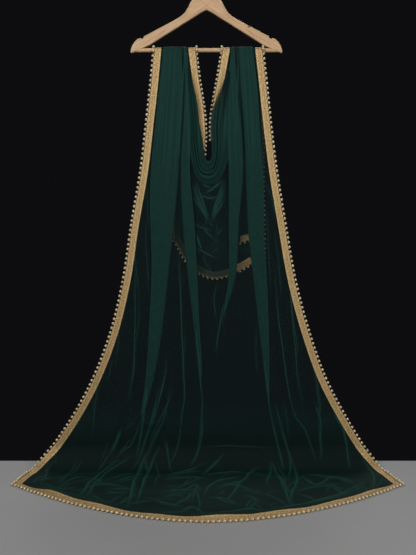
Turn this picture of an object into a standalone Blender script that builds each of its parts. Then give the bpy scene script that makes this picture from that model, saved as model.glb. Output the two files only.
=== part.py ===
"""Net stole with a gold border and a beaded edge, hung over the bar of a wooden hanger.

Metres, +Z up, +X to the wearer's left of the hanger as seen from the front, front towards -Y.
The origin is the inner top of the hook, where a rail carries it.

The cloth is one sheet that follows a route: up from the floor in front, over the bar and down behind.
A place on it is (across, drop): across is X, and drop is the length of cloth down from the bar's height.
A third value, rise, lifts a point off the route: forwards where the cloth hangs, up where it lies.
"""

import math

import bmesh
import bpy
import numpy as np
from mathutils import Vector

# hanger
BAR_Z = -0.261
BAR_RADIUS = 0.006
BAR_SIDES = 16
WOOD_THICKNESS = 0.013
WOOD_ROUNDING = 0.0025
WOOD_ROUNDED_ABOVE = 50  # degrees
CREST_Z = -0.085
HOOK_WIRE = 0.004
HOOK_INNER_RADIUS = 0.022
HOOK_SIDES = 8

# cloth
WALL = 0.001
SEAM = 0.0003
BORDER_WIDTH = 0.0185
SLOPE_STEP = 0.002
BEAD_PITCH = 0.0143
BEAD_RADIUS = 0.0044
BEAD_NECK_RADIUS = 0.0011
BEAD_SIDES = 4
BEAD_TO_BORDER = 0.0006
BEAD_SEATING_STEPS = 12
BEAD_END_GAP = 0.003

# route of the cloth
BAR_TO_CLOTH = BAR_RADIUS + SEAM + WALL / 2
FLOOR_Z = BAR_Z - 1.252
CLOTH_FLOOR_Z = FLOOR_Z + WALL / 2
LEAN = 0.012
FOOT_RADIUS = 0.07
FOOT_DROP = BAR_Z - CLOTH_FLOOR_Z - FOOT_RADIUS
FOOT_LENGTH = FOOT_RADIUS * math.pi / 2
FOOT_END_Y = -BAR_TO_CLOTH - LEAN * FOOT_DROP - FOOT_RADIUS
SLIT_DROP = 0.355

# hem on the floor, measured at the border's outer edge
HEM_MIDDLE_X = 0.004
HEM_FRONT_Y = -0.450
HEM_SWEEP = 0.266
HEM_HALF_WIDTH = 0.556
HEM_POWER = 1.83

# pleats
PITCH_ON_BAR = 0.0014
PITCH_HANGING = 0.0026
PITCH_GROWS_OVER = 0.15
CLEAR_OF_TURN = 0.0045
LEAST_OVERLAP = 0.007
TURNS_OVER_WITHIN = 0.010
UNFOLDS_AT = -0.004
FLAT_AT = -0.012
FLAT_SPREAD = 0.001
COLUMN_ROOM = 0.0012
MERGE_WITHIN = 0.000001


class Table:
    """Rows of numbers under named columns, read smoothly along the first column."""

    def __init__(self, columns, rows):
        self.columns = columns.split()
        self.rows = np.array(rows, dtype=float)

    def at(self, column, place):
        keys = self.rows[:, 0]
        values = self.rows[:, self.columns.index(column)]
        place = min(max(place, keys[0]), keys[-1])
        slopes = np.gradient(values, keys)
        i = int(min(max(np.searchsorted(keys, place) - 1, 0), len(keys) - 2))
        span = keys[i + 1] - keys[i]
        t = (place - keys[i]) / span
        return float(
            values[i] * (1 + 2 * t) * (1 - t) ** 2
            + slopes[i] * span * t * (1 - t) ** 2
            + values[i + 1] * t * t * (3 - 2 * t)
            + slopes[i + 1] * span * t * t * (t - 1)
        )


# the border's outer edges, down the front and down the back
FRONT = Table("drop left right", (
    (0.00, -0.151, 0.162),
    (0.10, -0.161, 0.174),
    (0.20, -0.173, 0.185),
    (0.34, -0.190, 0.203),
    (0.51, -0.220, 0.232),
    (0.69, -0.249, 0.266),
    (0.85, -0.290, 0.311),
    (0.98, -0.341, 0.359),
    (1.10, -0.406, 0.422),
    (1.18, -0.460, 0.471),
    (1.24, -0.508, 0.513),
    (1.29, -0.532, 0.537),
    (1.34, -0.543, 0.548),
    (1.39, -0.551, 0.560),
))
BACK = Table("drop left right", (
    (0.00, -0.151, 0.162),
    (0.11, -0.146, 0.164),
    (0.27, -0.127, 0.167),
    (0.40, -0.110, 0.169),
    (0.52, -0.100, 0.172),
    (0.70, -0.094, 0.176),
))
# the neck slit's edges, at the border's edge next to the gap
NECK = Table("drop left right", (
    (0.00, -0.034, 0.050),
    (0.05, -0.028, 0.042),
    (0.10, -0.023, 0.035),
    (0.15, -0.017, 0.028),
    (0.20, -0.010, 0.022),
    (0.25, -0.008, 0.020),
    (0.30, -0.011, 0.026),
    (0.36, -0.016, 0.032),
))
# each pleat's overlap lies between its near and far edge, and is spent where far passes under near
FRONT_PLEATS = {
    "left_outer": Table("drop near far", (
        (0.00, -0.126, -0.074),
        (0.10, -0.137, -0.070),
        (0.20, -0.148, -0.075),
        (0.37, -0.165, -0.085),
        (0.68, -0.164, -0.118),
        (0.82, -0.172, -0.134),
        (0.98, -0.184, -0.162),
        (1.06, -0.195, -0.184),
        (1.15, -0.212, -0.225),
        (1.40, -0.290, -0.303),
    )),
    "left_inner": Table("drop near far", (
        (0.00, -0.066, -0.058),
        (0.10, -0.063, -0.049),
        (0.20, -0.067, -0.044),
        (0.34, -0.075, -0.050),
        (0.51, -0.069, -0.037),
        (0.80, -0.039, -0.023),
        (0.98, -0.018, -0.015),
        (1.06, -0.011, -0.020),
        (1.15, -0.016, -0.030),
        (1.40, -0.030, -0.044),
    )),
    "right_inner": Table("drop near far", (
        (0.00, 0.074, 0.082),
        (0.10, 0.063, 0.088),
        (0.20, 0.061, 0.100),
        (0.34, 0.067, 0.108),
        (0.51, 0.068, 0.095),
        (0.68, 0.067, 0.084),
        (0.76, 0.055, 0.061),
        (0.88, 0.037, 0.032),
        (0.98, 0.036, 0.022),
        (1.40, 0.050, 0.036),
    )),
    "right_outer": Table("drop near far", (
        (0.00, 0.095, 0.136),
        (0.10, 0.101, 0.148),
        (0.20, 0.110, 0.155),
        (0.37, 0.119, 0.168),
        (0.54, 0.127, 0.171),
        (0.68, 0.143, 0.181),
        (0.89, 0.168, 0.189),
        (1.06, 0.192, 0.192),
        (1.15, 0.210, 0.197),
        (1.40, 0.290, 0.277),
    )),
}
BACK_PLEATS = {
    "left_outer": Table("drop near far", (
        (0.00, -0.126, -0.074),
        (0.15, -0.116, -0.084),
        (0.36, -0.077, -0.077),
        (0.41, -0.067, -0.077),
        (0.50, -0.062, -0.075),
        (0.70, -0.056, -0.069),
    )),
    "left_inner": Table("drop near far", (
        (0.00, -0.066, -0.058),
        (0.15, -0.066, -0.056),
        (0.36, -0.050, -0.050),
        (0.41, -0.041, -0.051),
        (0.50, -0.032, -0.045),
        (0.70, -0.024, -0.037),
    )),
    "right_inner": Table("drop near far", (
        (0.00, 0.074, 0.082),
        (0.15, 0.064, 0.078),
        (0.36, 0.064, 0.064),
        (0.41, 0.066, 0.056),
        (0.50, 0.062, 0.049),
        (0.70, 0.066, 0.052),
    )),
    "right_outer": Table("drop near far", (
        (0.00, 0.095, 0.136),
        (0.15, 0.100, 0.132),
        (0.36, 0.113, 0.113),
        (0.41, 0.118, 0.108),
        (0.50, 0.118, 0.105),
        (0.70, 0.120, 0.107),
    )),
}
# soft ridges that stand between the pleats: the line of each, where it starts and ends, and its height
RIDGES = {
    "left_a": (0.70, 1.15, 0.005, (
        (0.36, -0.160), (0.78, -0.262), (0.99, -0.315), (1.11, -0.355), (1.2, -0.39),
    )),
    "left_b": (0.45, 1.18, 0.007, (
        (0.36, -0.135), (0.68, -0.216), (0.95, -0.217), (1.09, -0.260), (1.2, -0.30),
    )),
    "left_c": (0.85, 1.18, 0.006, (
        (0.36, -0.058), (0.66, -0.092), (0.98, -0.126), (1.12, -0.160), (1.2, -0.19),
    )),
    "left_d": (0.60, 1.18, 0.007, (
        (0.36, -0.054), (0.68, -0.075), (0.94, -0.068), (1.08, -0.078), (1.2, -0.09),
    )),
    "neck_a": (0.40, 0.66, 0.006, (
        (0.36, -0.034), (0.40, -0.030), (0.51, 0.006), (0.80, 0.002), (1.2, 0.00),
    )),
    "neck_b": (0.42, 0.62, 0.006, (
        (0.36, 0.046), (0.43, 0.048), (0.51, 0.026), (0.80, 0.016), (1.2, 0.02),
    )),
    "right_a": (0.50, 1.00, 0.005, (
        (0.36, 0.145), (0.60, 0.115), (0.80, 0.105), (1.00, 0.105), (1.2, 0.11),
    )),
    "right_b": (0.55, 1.18, 0.007, (
        (0.36, 0.172), (0.71, 0.209), (0.98, 0.242), (1.10, 0.271), (1.2, 0.30),
    )),
    "right_c": (0.50, 1.12, 0.006, (
        (0.36, 0.176), (0.68, 0.232), (0.89, 0.269), (1.03, 0.288), (1.2, 0.33),
    )),
    "right_d": (0.80, 1.18, 0.006, (
        (0.36, 0.180), (0.68, 0.243), (0.94, 0.322), (1.11, 0.348), (1.2, 0.38),
    )),
}
# the ridges that stand on each plain run: left of the first pleat, then after each pleat
RIDGE_RUNS = (("left_a", "left_b"), ("left_c", "left_d"), ("neck_a", "neck_b"), ("right_a",),
              ("right_b", "right_c", "right_d"))
RIDGE_FADE = 0.12
# low crumples of the train: middle, half length, half width, heading in degrees from +X, height
CRUMPLES = Table("across y long wide heading rise", (
    (-0.43, -0.150, 0.10, 0.024, 30, 0.010),
    (-0.29, -0.210, 0.14, 0.026, -24, 0.011),
    (-0.15, -0.150, 0.13, 0.026, 20, 0.012),
    (-0.11, -0.320, 0.12, 0.024, -10, 0.009),
    (0.03, -0.220, 0.12, 0.028, 34, 0.011),
    (0.10, -0.360, 0.13, 0.024, 4, 0.009),
    (0.17, -0.140, 0.12, 0.026, -30, 0.012),
    (0.29, -0.230, 0.14, 0.026, 22, 0.011),
    (0.42, -0.170, 0.10, 0.024, -26, 0.010),
))
CRUMPLE_FREE_EDGE = 0.07
CRUMPLES_START = FOOT_DROP + FOOT_LENGTH * 0.8
CRUMPLES_GROW_OVER = 0.05

# the cowl: stations from the left strand down round the slit and up the right strand
COWL = Table("station in_across in_drop out_across out_drop", (
    (0, -0.048, 0.030, -0.055, 0.060),
    (1, -0.035, 0.150, -0.054, 0.170),
    (2, -0.014, 0.262, -0.048, 0.295),
    (3, 0.006, 0.326, 0.008, 0.388),
    (4, 0.018, 0.280, 0.064, 0.330),
    (5, 0.016, 0.190, 0.067, 0.215),
    (6, 0.056, 0.070, 0.074, 0.060),
))
COWL_SAMPLES = 16
COWL_RISE = 0.0155
COWL_PITCH = 0.0015
COWL_LEAST_FOLD = 0.004
# each swag hangs over the next: the share of the cowl's depth where it turns under, and comes back from
COWL_FOLDS = Table("number under back", ((0, 0.30, 0.17), (1, 0.58, 0.44), (2, 0.84, 0.71)))

MATERIALS = {
    "net": ((0.012, 0.065, 0.048), 0.75, 0.0),
    "gold": ((0.62, 0.42, 0.19), 0.35, 0.8),
    "pearl": ((0.75, 0.60, 0.40), 0.22, 0.3),
    "wood": ((0.62, 0.42, 0.25), 0.5, 0.0),
    "steel": ((0.70, 0.70, 0.72), 0.22, 1.0),
}


def clear_scene():
    for thing in list(bpy.data.objects):
        bpy.data.objects.remove(thing, do_unlink=True)


def material(name):
    made = bpy.data.materials.get(name)
    if made is None:
        colour, roughness, metallic = MATERIALS[name]
        made = bpy.data.materials.new(name)
        made.use_nodes = True
        shader = made.node_tree.nodes["Principled BSDF"]
        shader.inputs["Base Color"].default_value = (*colour, 1.0)
        shader.inputs["Roughness"].default_value = roughness
        shader.inputs["Metallic"].default_value = metallic
    return made


def ease(value):
    value = min(max(value, 0.0), 1.0)
    return value * value * (3 - 2 * value)


def route(drop, behind=False):
    """Y, Z and the outward direction of the cloth's middle, drop metres below the bar's height."""
    if behind:
        return BAR_TO_CLOTH + LEAN * drop, BAR_Z - drop, Vector((0, 1, 0))
    if drop <= FOOT_DROP:
        return -BAR_TO_CLOTH - LEAN * drop, BAR_Z - drop, Vector((0, -1, 0))
    turn = (drop - FOOT_DROP) / FOOT_RADIUS
    if turn < math.pi / 2:
        y = FOOT_END_Y + FOOT_RADIUS * math.cos(turn)
        z = BAR_Z - FOOT_DROP - FOOT_RADIUS * math.sin(turn)
        return y, z, Vector((0, -math.cos(turn), math.sin(turn)))
    return FOOT_END_Y - (drop - FOOT_DROP - FOOT_LENGTH), CLOTH_FLOOR_Z, Vector((0, 0, 1))


def place(across, drop, rise, behind=False):
    y, z, out = route(drop, behind)
    return Vector((across, y, z)) + out * rise


def place_over_bar(across, angle, rise):
    """A point on the half turn over the bar: angle 0 in front, pi behind."""
    reach = BAR_TO_CLOTH + rise
    return Vector((across, -reach * math.cos(angle), BAR_Z + reach * math.sin(angle)))


def hem_drop(across):
    """The drop at which the front hem's outer edge crosses a place across."""
    y = HEM_FRONT_Y + HEM_SWEEP * (abs(across - HEM_MIDDLE_X) / HEM_HALF_WIDTH) ** HEM_POWER
    return FOOT_DROP + FOOT_LENGTH + FOOT_END_Y - y


BACK_HEM = Table("across drop", (
    (-0.14, 0.520),
    (-0.094, 0.566),
    (-0.060, 0.624),
    (-0.026, 0.656),
    (0.017, 0.674),
    (0.060, 0.668),
    (0.105, 0.640),
    (0.140, 0.612),
    (0.20, 0.575),
))


def back_hem_drop(across):
    return BACK_HEM.at("drop", across)


def inward(function, value, width):
    """How far along the other axis a border of this width reaches in from its outer edge."""
    step = SLOPE_STEP
    slope = (function(value + step) - function(value - step)) / (2 * step)
    return width * math.sqrt(1 + slope * slope)


def side_edge(edges, side, drop, width):
    outer = edges.at(side, drop)
    reach = inward(lambda v: edges.at(side, v), drop, width)
    return outer + reach if side == "left" else outer - reach


def hem_edge(hem, across, width):
    return hem(across) - inward(hem, across, width)


def layer_pitch(drop):
    return PITCH_ON_BAR + (PITCH_HANGING - PITCH_ON_BAR) * ease(drop / PITCH_GROWS_OVER)


def plain_column(across, rise=0.0):
    """Across, rise, and the way the wall's upper side lies from there, across and up, in half walls."""
    return across, rise, 0.0, 1.0


def pleat_columns(pleats, names, drop, first, last):
    """The columns of one section of cloth, from edge to edge.

    The pleats come in pairs that face each other: the cloth turns back under its top at the first one's
    near edge and again at the second one's far edge, so it lies low outside a pair and high within it.
    """
    columns = [plain_column(first)]
    for index, name in enumerate(names):
        near = pleats[name].at("near", drop)
        far = pleats[name].at("far", drop)
        if abs(far - near) < LEAST_OVERLAP:
            near = far = (near + far) / 2
        overlap = far - near
        folded = ease((overlap - FLAT_AT) / (UNFOLDS_AT - FLAT_AT))
        pitch = layer_pitch(drop) * folded
        spread = FLAT_SPREAD * (1 - folded)
        falling = index % 2 == 1
        lean = folded if falling else -folded
        turned = -min(max(overlap / TURNS_OVER_WITHIN, -1.0), 1.0)
        turns = []
        for across, level, face in (
            (far - spread, 0, 1.0),
            (far + spread, 1, turned),
            (near - spread, 1, turned),
            (near + spread, 2, 1.0),
        ):
            turns.append((across, pitch * (2 - level if falling else level), lean, face))
        if falling:
            columns += [*turns, plain_column(max(near, far) + CLEAR_OF_TURN)]
        else:
            columns += [plain_column(min(near, far) - CLEAR_OF_TURN), *turns]
    columns.append(plain_column(last))
    return columns


PLEAT_COLUMNS = 5


def ridge_height(name, drop):
    start, end, height, _ = RIDGES[name]
    return height * ease((drop - start) / RIDGE_FADE) * ease((end - drop) / RIDGE_FADE)


def with_ridges(run, drop, names):
    """Adds a peak for each ridge on a plain run between two columns, and a valley between two peaks."""
    start, start_rise = run[0][:2]
    end, end_rise = run[1][:2]
    added = []
    before = start

    def ground(across):
        return start_rise + (end_rise - start_rise) * (across - start) / (end - start)

    room = min(COLUMN_ROOM, (end - start) / (2 * len(names) + 2))
    for index, name in enumerate(names):
        peak = Table("drop across", RIDGES[name][3]).at("across", drop)
        to_come = 2 * (len(names) - index)
        peak = min(max(peak, before + 2 * room), end - to_come * room)
        if index:
            valley = (before + peak) / 2
            added.append(plain_column(valley, ground(valley)))
        added.append(plain_column(peak, ground(peak) + ridge_height(name, drop)))
        before = peak
    return [run[0], *added, run[1]]


def crumple_rise(across, drop):
    """Height of the train's crumples, which start past the foot and end short of the border."""
    y = route(drop)[0]
    past_foot = ease((drop - CRUMPLES_START) / CRUMPLES_GROW_OVER)
    hem_room = hem_drop(across) - BORDER_WIDTH - drop
    left_room = across - side_edge(FRONT, "left", drop, BORDER_WIDTH)
    right_room = side_edge(FRONT, "right", drop, BORDER_WIDTH) - across
    free = past_foot * ease(min(hem_room, left_room, right_room) / CRUMPLE_FREE_EDGE)
    rise = 0.0
    for middle, middle_y, long, wide, heading, height in CRUMPLES.rows:
        angle = math.radians(heading)
        along = (across - middle) * math.cos(angle) + (y - middle_y) * math.sin(angle)
        aside = -(across - middle) * math.sin(angle) + (y - middle_y) * math.cos(angle)
        rise = max(rise, height * math.exp(-((along / long) ** 2) - (aside / wide) ** 2))
    return rise * free


def front_section(drop):
    """The whole width of the front below the slit, with its four pleats and its ridges."""
    first = side_edge(FRONT, "left", drop, BORDER_WIDTH + SEAM)
    last = side_edge(FRONT, "right", drop, BORDER_WIDTH + SEAM)
    plain = pleat_columns(FRONT_PLEATS, list(FRONT_PLEATS), drop, first, last)
    section = with_ridges(plain[0:2], drop, RIDGE_RUNS[0])
    for index, names in enumerate(RIDGE_RUNS[1:]):
        head = 1 + index * PLEAT_COLUMNS
        section += plain[head + 1:head + PLEAT_COLUMNS - 1]
        section += with_ridges(plain[head + PLEAT_COLUMNS - 1:head + PLEAT_COLUMNS + 1], drop, names)
    return section


def back_section(drop):
    """The whole width of the short end behind, below the slit."""
    first = side_edge(BACK, "left", drop, BORDER_WIDTH + SEAM)
    last = side_edge(BACK, "right", drop, BORDER_WIDTH + SEAM)
    return pleat_columns(BACK_PLEATS, list(BACK_PLEATS), drop, first, last)


STRAND_PLEATS = {"left": ("left_outer", "left_inner"), "right": ("right_inner", "right_outer")}


def neck_edge(side, drop, width):
    across = NECK.at(side, drop)
    reach = inward(lambda v: NECK.at(side, v), drop, width)
    return across - reach if side == "left" else across + reach


def strand_section(side, drop, behind=False):
    """The cloth of one side of the slit, between its outer border and its neck border."""
    pleats = BACK_PLEATS if behind else FRONT_PLEATS
    outer = side_edge(BACK if behind else FRONT, side, drop, BORDER_WIDTH + SEAM)
    neck = neck_edge(side, drop, BORDER_WIDTH + SEAM)
    first, last = (outer, neck) if side == "left" else (neck, outer)
    return pleat_columns(pleats, STRAND_PLEATS[side], drop, first, last)


def side_of(section, distance):
    """Across and rise of the wall's side this far from its middle, at each column of a section."""
    return [(across + lean * distance, rise + face * distance) for across, rise, lean, face in section]


def close_wall(name, outer, inner, finish):
    """One closed body between two grids of points that lie face to face."""
    mesh = bpy.data.meshes.new(name)
    shape = bmesh.new()
    top = [[shape.verts.new(point) for point in row] for row in outer]
    bottom = [[shape.verts.new(point) for point in row] for row in inner]
    for sheet in (top, bottom):
        for upper, lower in zip(sheet, sheet[1:]):
            for i in range(len(upper) - 1):
                shape.faces.new((upper[i], upper[i + 1], lower[i + 1]))
                shape.faces.new((upper[i], lower[i + 1], lower[i]))

    def rim(points, facing):
        for i in range(len(points) - 1):
            shape.faces.new((points[i], points[i + 1], facing[i + 1], facing[i]))

    rim(top[0], bottom[0])
    rim(top[-1], bottom[-1])
    rim([row[0] for row in top], [row[0] for row in bottom])
    rim([row[-1] for row in top], [row[-1] for row in bottom])
    bmesh.ops.remove_doubles(shape, verts=shape.verts, dist=MERGE_WITHIN)
    bmesh.ops.recalc_face_normals(shape, faces=shape.faces)
    shape.to_mesh(mesh)
    shape.free()
    made = bpy.data.objects.new(name, mesh)
    bpy.context.collection.objects.link(made)
    mesh.materials.append(material(finish))
    mesh.shade_smooth()
    return made


def cloth_wall(name, sections, put):
    """A wall through a list of sections. put turns a section's number, column, across and rise to 3D."""
    sheets = []
    for distance in (WALL / 2, -WALL / 2):
        rows = []
        for number, section in enumerate(sections):
            side = side_of(section, distance)
            rows.append([put(number, i, across, rise) for i, (across, rise) in enumerate(side)])
        sheets.append(rows)
    close_wall(name, sheets[0], sheets[1], "net")


def spaced(start, end, count):
    return [start + (end - start) * i / (count - 1) for i in range(count)]


STRAND_DROPS = spaced(SEAM / 2, SLIT_DROP - SEAM / 2, 7)
FALL_DROPS = spaced(SLIT_DROP + SEAM / 2, FOOT_DROP - SEAM / 2, 13)
TRAIN_START = FOOT_DROP + SEAM / 2
TRAIN_SHARES = (0, 0.10, 0.20, 0.30, 0.41, 0.53, 0.65, 0.77, 0.89, 1)
TRAIN_COLUMNS = spaced(0, 1, 35)
FLAP_SHARES = spaced(0, 1, 6)
FLAP_FLAT_DROP = 0.57
SETTLE_STEPS = 40
SETTLE_SHARE = 0.6
TRAIN_END_GUESS = 1.45
FLAP_END_GUESS = 0.6
FLAP_SPREADS_FROM = 0.5
TURN_ANGLES = spaced(SEAM / BAR_TO_CLOTH, math.pi - SEAM / BAR_TO_CLOTH, 7)


def make_strands():
    for side in ("left", "right"):
        for behind, name in ((False, "strand"), (True, "back_strand")):
            sections = [strand_section(side, drop, behind) for drop in STRAND_DROPS]
            cloth_wall(
                f"{name}_{side}", sections,
                lambda row, _, across, rise: place(across, STRAND_DROPS[row], rise, behind),
            )


def make_over_bar():
    """The half turn over the bar, a seam's gap short of the strand on each side."""
    for side in ("left", "right"):
        sections = [strand_section(side, 0.0) for _ in TURN_ANGLES]
        cloth_wall(
            f"over_bar_{side}", sections,
            lambda row, _, across, rise: place_over_bar(across, TURN_ANGLES[row], rise),
        )


def make_front_fall():
    sections = [front_section(drop) for drop in FALL_DROPS]
    cloth_wall(
        "front_fall", sections,
        lambda row, _, across, rise: place(across, FALL_DROPS[row], rise),
    )


def settle(guess, target):
    """The drop that a rule for it gives back unchanged."""
    for _ in range(SETTLE_STEPS):
        guess += SETTLE_SHARE * (target(guess) - guess)
    return guess


def train_across(share, drop, width):
    """Across at this share of the train's width, between lines this far in from the outer edges."""
    left = side_edge(FRONT, "left", drop, width)
    right = side_edge(FRONT, "right", drop, width)
    return left + (right - left) * share


def train_end(share, width):
    """The drop where a column of the train meets the line this far in from the hem's outer edge."""
    return settle(
        TRAIN_END_GUESS,
        lambda drop: hem_edge(hem_drop, train_across(share, drop, width), width),
    )


def train_spot(column, along, width):
    drop = TRAIN_START + (train_end(column, width) - TRAIN_START) * along
    return train_across(column, drop, width), drop


def make_floor_train():
    spots = [[train_spot(q, along, BORDER_WIDTH + SEAM) for q in TRAIN_COLUMNS] for along in TRAIN_SHARES]
    sections = []
    for row in spots:
        sections.append([plain_column(across, crumple_rise(across, drop)) for across, drop in row])
    cloth_wall(
        "floor_train", sections,
        lambda row, i, across, rise: place(across, spots[row][i][1], rise),
    )


def flap_across(share, drop, width):
    left = side_edge(BACK, "left", drop, width)
    right = side_edge(BACK, "right", drop, width)
    return left + (right - left) * share


def flap_end(share, width):
    """The drop where a column of the flap meets the line this far in from the back hem's outer edge."""
    return settle(
        FLAP_END_GUESS,
        lambda drop: hem_edge(back_hem_drop, flap_across(share, drop, width), width),
    )


def flap_columns():
    """Each column's share of the flap's width where its pleats have opened flat."""
    plain = back_section(FLAP_FLAT_DROP)
    return [(column[0] - plain[0][0]) / (plain[-1][0] - plain[0][0]) for column in plain]


def make_back_flap():
    start = SLIT_DROP + SEAM / 2
    width = BORDER_WIDTH + SEAM
    shares = flap_columns()
    ends = [flap_end(share, width) for share in shares]
    sections = []
    drops = []
    for along in FLAP_SHARES:
        row = [start + (end - start) * along for end in ends]
        spread = ease((along - FLAP_SPREADS_FROM) / (1 - FLAP_SPREADS_FROM))
        section = []
        for i, drop in enumerate(row):
            across, rise, lean, face = back_section(drop)[i]
            across += (flap_across(shares[i], drop, width) - across) * spread
            section.append((across, rise, lean, face))
        drops.append(row)
        sections.append(section)
    cloth_wall(
        "back_flap", sections,
        lambda row, i, across, rise: place(across, drops[row][i], rise, True),
    )


def make_cowl():
    """Three swags, each hanging over the next, from the edge of the slit outwards."""
    lines = []
    sections = []
    for station in spaced(0, 6, COWL_SAMPLES):
        inner = Vector((COWL.at("in_across", station), COWL.at("in_drop", station)))
        outer = Vector((COWL.at("out_across", station), COWL.at("out_drop", station)))
        depth = (outer - inner).length
        section = [plain_column(0.0, COWL_RISE)]
        rise = COWL_RISE
        for _, under, back in COWL_FOLDS.rows:
            low = under * depth
            high = min(back * depth, low - COWL_LEAST_FOLD)
            section += [(low, rise, 1.0, 1.0), (low, rise - COWL_PITCH, 1.0, -1.0)]
            section += [(high, rise - COWL_PITCH, 1.0, -1.0), (high, rise - 2 * COWL_PITCH, 1.0, 1.0)]
            rise -= 2 * COWL_PITCH
        section.append(plain_column(depth, rise))
        sections.append(section)
        lines.append((inner, (outer - inner) / depth))

    def put(row, _, along, rise):
        start, heading = lines[row]
        spot = start + heading * along
        return place(spot.x, spot.y, rise)

    cloth_wall("cowl", sections, put)


def side_line(side, width):
    """A line beside the outer border: up the front from the corner, over the bar and down behind."""
    share = 0 if side == "left" else 1
    edge = 0 if side == "left" else -1
    spots = []
    for along in reversed(TRAIN_SHARES):
        across, drop = train_spot(share, along, width)
        if along == 1:
            drop -= SEAM
        spots.append(((across, 0.0), lambda x, h, d=drop: place(x, d, h)))
    for drop in reversed(FALL_DROPS):
        spot = side_edge(FRONT, side, drop, width), front_section(drop)[edge][1]
        spots.append((spot, lambda x, h, d=drop: place(x, d, h)))
    for drop in reversed(STRAND_DROPS):
        spot = side_edge(FRONT, side, drop, width), strand_section(side, drop)[edge][1]
        spots.append((spot, lambda x, h, d=drop: place(x, d, h)))
    across, rise = side_edge(FRONT, side, 0.0, width), strand_section(side, 0.0)[edge][1]
    for angle in TURN_ANGLES:
        spots.append(((across, rise), lambda x, h, a=angle: place_over_bar(x, a, h)))
    for drop in STRAND_DROPS:
        spot = side_edge(BACK, side, drop, width), strand_section(side, drop, True)[edge][1]
        spots.append((spot, lambda x, h, d=drop: place(x, d, h, True)))
    start = SLIT_DROP + SEAM / 2
    corner = flap_end(share, width) - SEAM
    for along in FLAP_SHARES:
        drop = start + (corner - start) * along
        spot = side_edge(BACK, side, drop, width), 0.0
        spots.append((spot, lambda x, h, d=drop: place(x, d, h, True)))
    return spots


def neck_line(side, width):
    """A line beside the slit's border: up behind, over the bar and down the front."""
    edge = -1 if side == "left" else 0
    spots = []
    for drop in reversed(STRAND_DROPS):
        rise = strand_section(side, drop, True)[edge][1]
        spots.append(((neck_edge(side, drop, width), rise), lambda x, h, d=drop: place(x, d, h, True)))
    across, rise = neck_edge(side, 0.0, width), strand_section(side, 0.0)[edge][1]
    for angle in reversed(TURN_ANGLES):
        spots.append(((across, rise), lambda x, h, a=angle: place_over_bar(x, a, h)))
    for drop in STRAND_DROPS:
        rise = strand_section(side, drop)[edge][1]
        spots.append(((neck_edge(side, drop, width), rise), lambda x, h, d=drop: place(x, d, h)))
    return spots


def front_hem_line(_, width):
    spots = []
    for share in TRAIN_COLUMNS:
        across, _ = train_spot(share, 1, width)
        across -= 2 * SEAM * (2 * share - 1)
        drop = hem_edge(hem_drop, across, width)
        spots.append(((across, 0.0), lambda x, h, d=drop: place(x, d, h)))
    return spots


def back_hem_line(_, width):
    spots = []
    for share in flap_columns():
        across = flap_across(share, flap_end(share, width), width)
        across -= 2 * SEAM * (2 * share - 1)
        drop = hem_edge(back_hem_drop, across, width)
        spots.append(((across, 0.0), lambda x, h, d=drop: place(x, d, h, True)))
    return spots


BORDERS = {
    "left": (side_line, "left"),
    "right": (side_line, "right"),
    "neck_left": (neck_line, "left"),
    "neck_right": (neck_line, "right"),
    "front_hem": (front_hem_line, ""),
    "back_hem": (back_hem_line, ""),
}


def make_borders():
    for name, (line, side) in BORDERS.items():
        inner = line(side, BORDER_WIDTH)
        outer = line(side, 0.0)
        sheets = []
        for lift in (WALL / 2, -WALL / 2):
            rows = []
            for pair in zip(inner, outer):
                rows.append([put(across, rise + lift) for (across, rise), put in pair])
            sheets.append(rows)
        close_wall(f"border_{name}", sheets[0], sheets[1], "gold")
        edges = [put(across, rise) for (across, rise), put in outer]
        beyond = [put(across, rise) for (across, rise), put in line(side, -BEAD_RADIUS - BEAD_TO_BORDER)]
        bead_string(f"beads_{name}", edges, [seat_bead(*pair) for pair in zip(edges, beyond)])


def clear_of_bar(spot):
    """A bead's middle, moved out from the bar where it would sink into it."""
    nearest = BAR_RADIUS + BEAD_RADIUS + SEAM
    height = spot.z - BAR_Z
    apart = math.hypot(spot.y, height)
    if apart >= nearest:
        return spot
    return Vector((spot.x, spot.y * nearest / apart, BAR_Z + height * nearest / apart))


def seat_bead(edge, spot):
    """A bead's middle, clear of the bar, and clear of the floor but still against the border's edge."""
    spot = clear_of_bar(spot)
    apart = (spot - edge).length
    for _ in range(BEAD_SEATING_STEPS):
        spot = edge + (spot - edge).normalized() * apart
        spot.z = max(spot.z, FLOOR_Z + BEAD_RADIUS + SEAM)
    return spot


def walk(spots, edges, pitch):
    """Points every half pitch along a line of beads, each with its place on the border's edge."""
    lengths = [0.0]
    for a, b in zip(spots, spots[1:]):
        lengths.append(lengths[-1] + (b - a).length)
    count = int((lengths[-1] - 2 * BEAD_END_GAP) / pitch)
    start = (lengths[-1] - count * pitch) / 2
    walked = []
    for i in range(count * 2 + 1):
        goal = start + i * pitch / 2
        k = min(int(np.searchsorted(lengths, goal, side="right")) - 1, len(spots) - 2)
        share = (goal - lengths[k]) / (lengths[k + 1] - lengths[k])
        walked.append((spots[k].lerp(spots[k + 1], share), edges[k].lerp(edges[k + 1], share)))
    return walked


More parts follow.
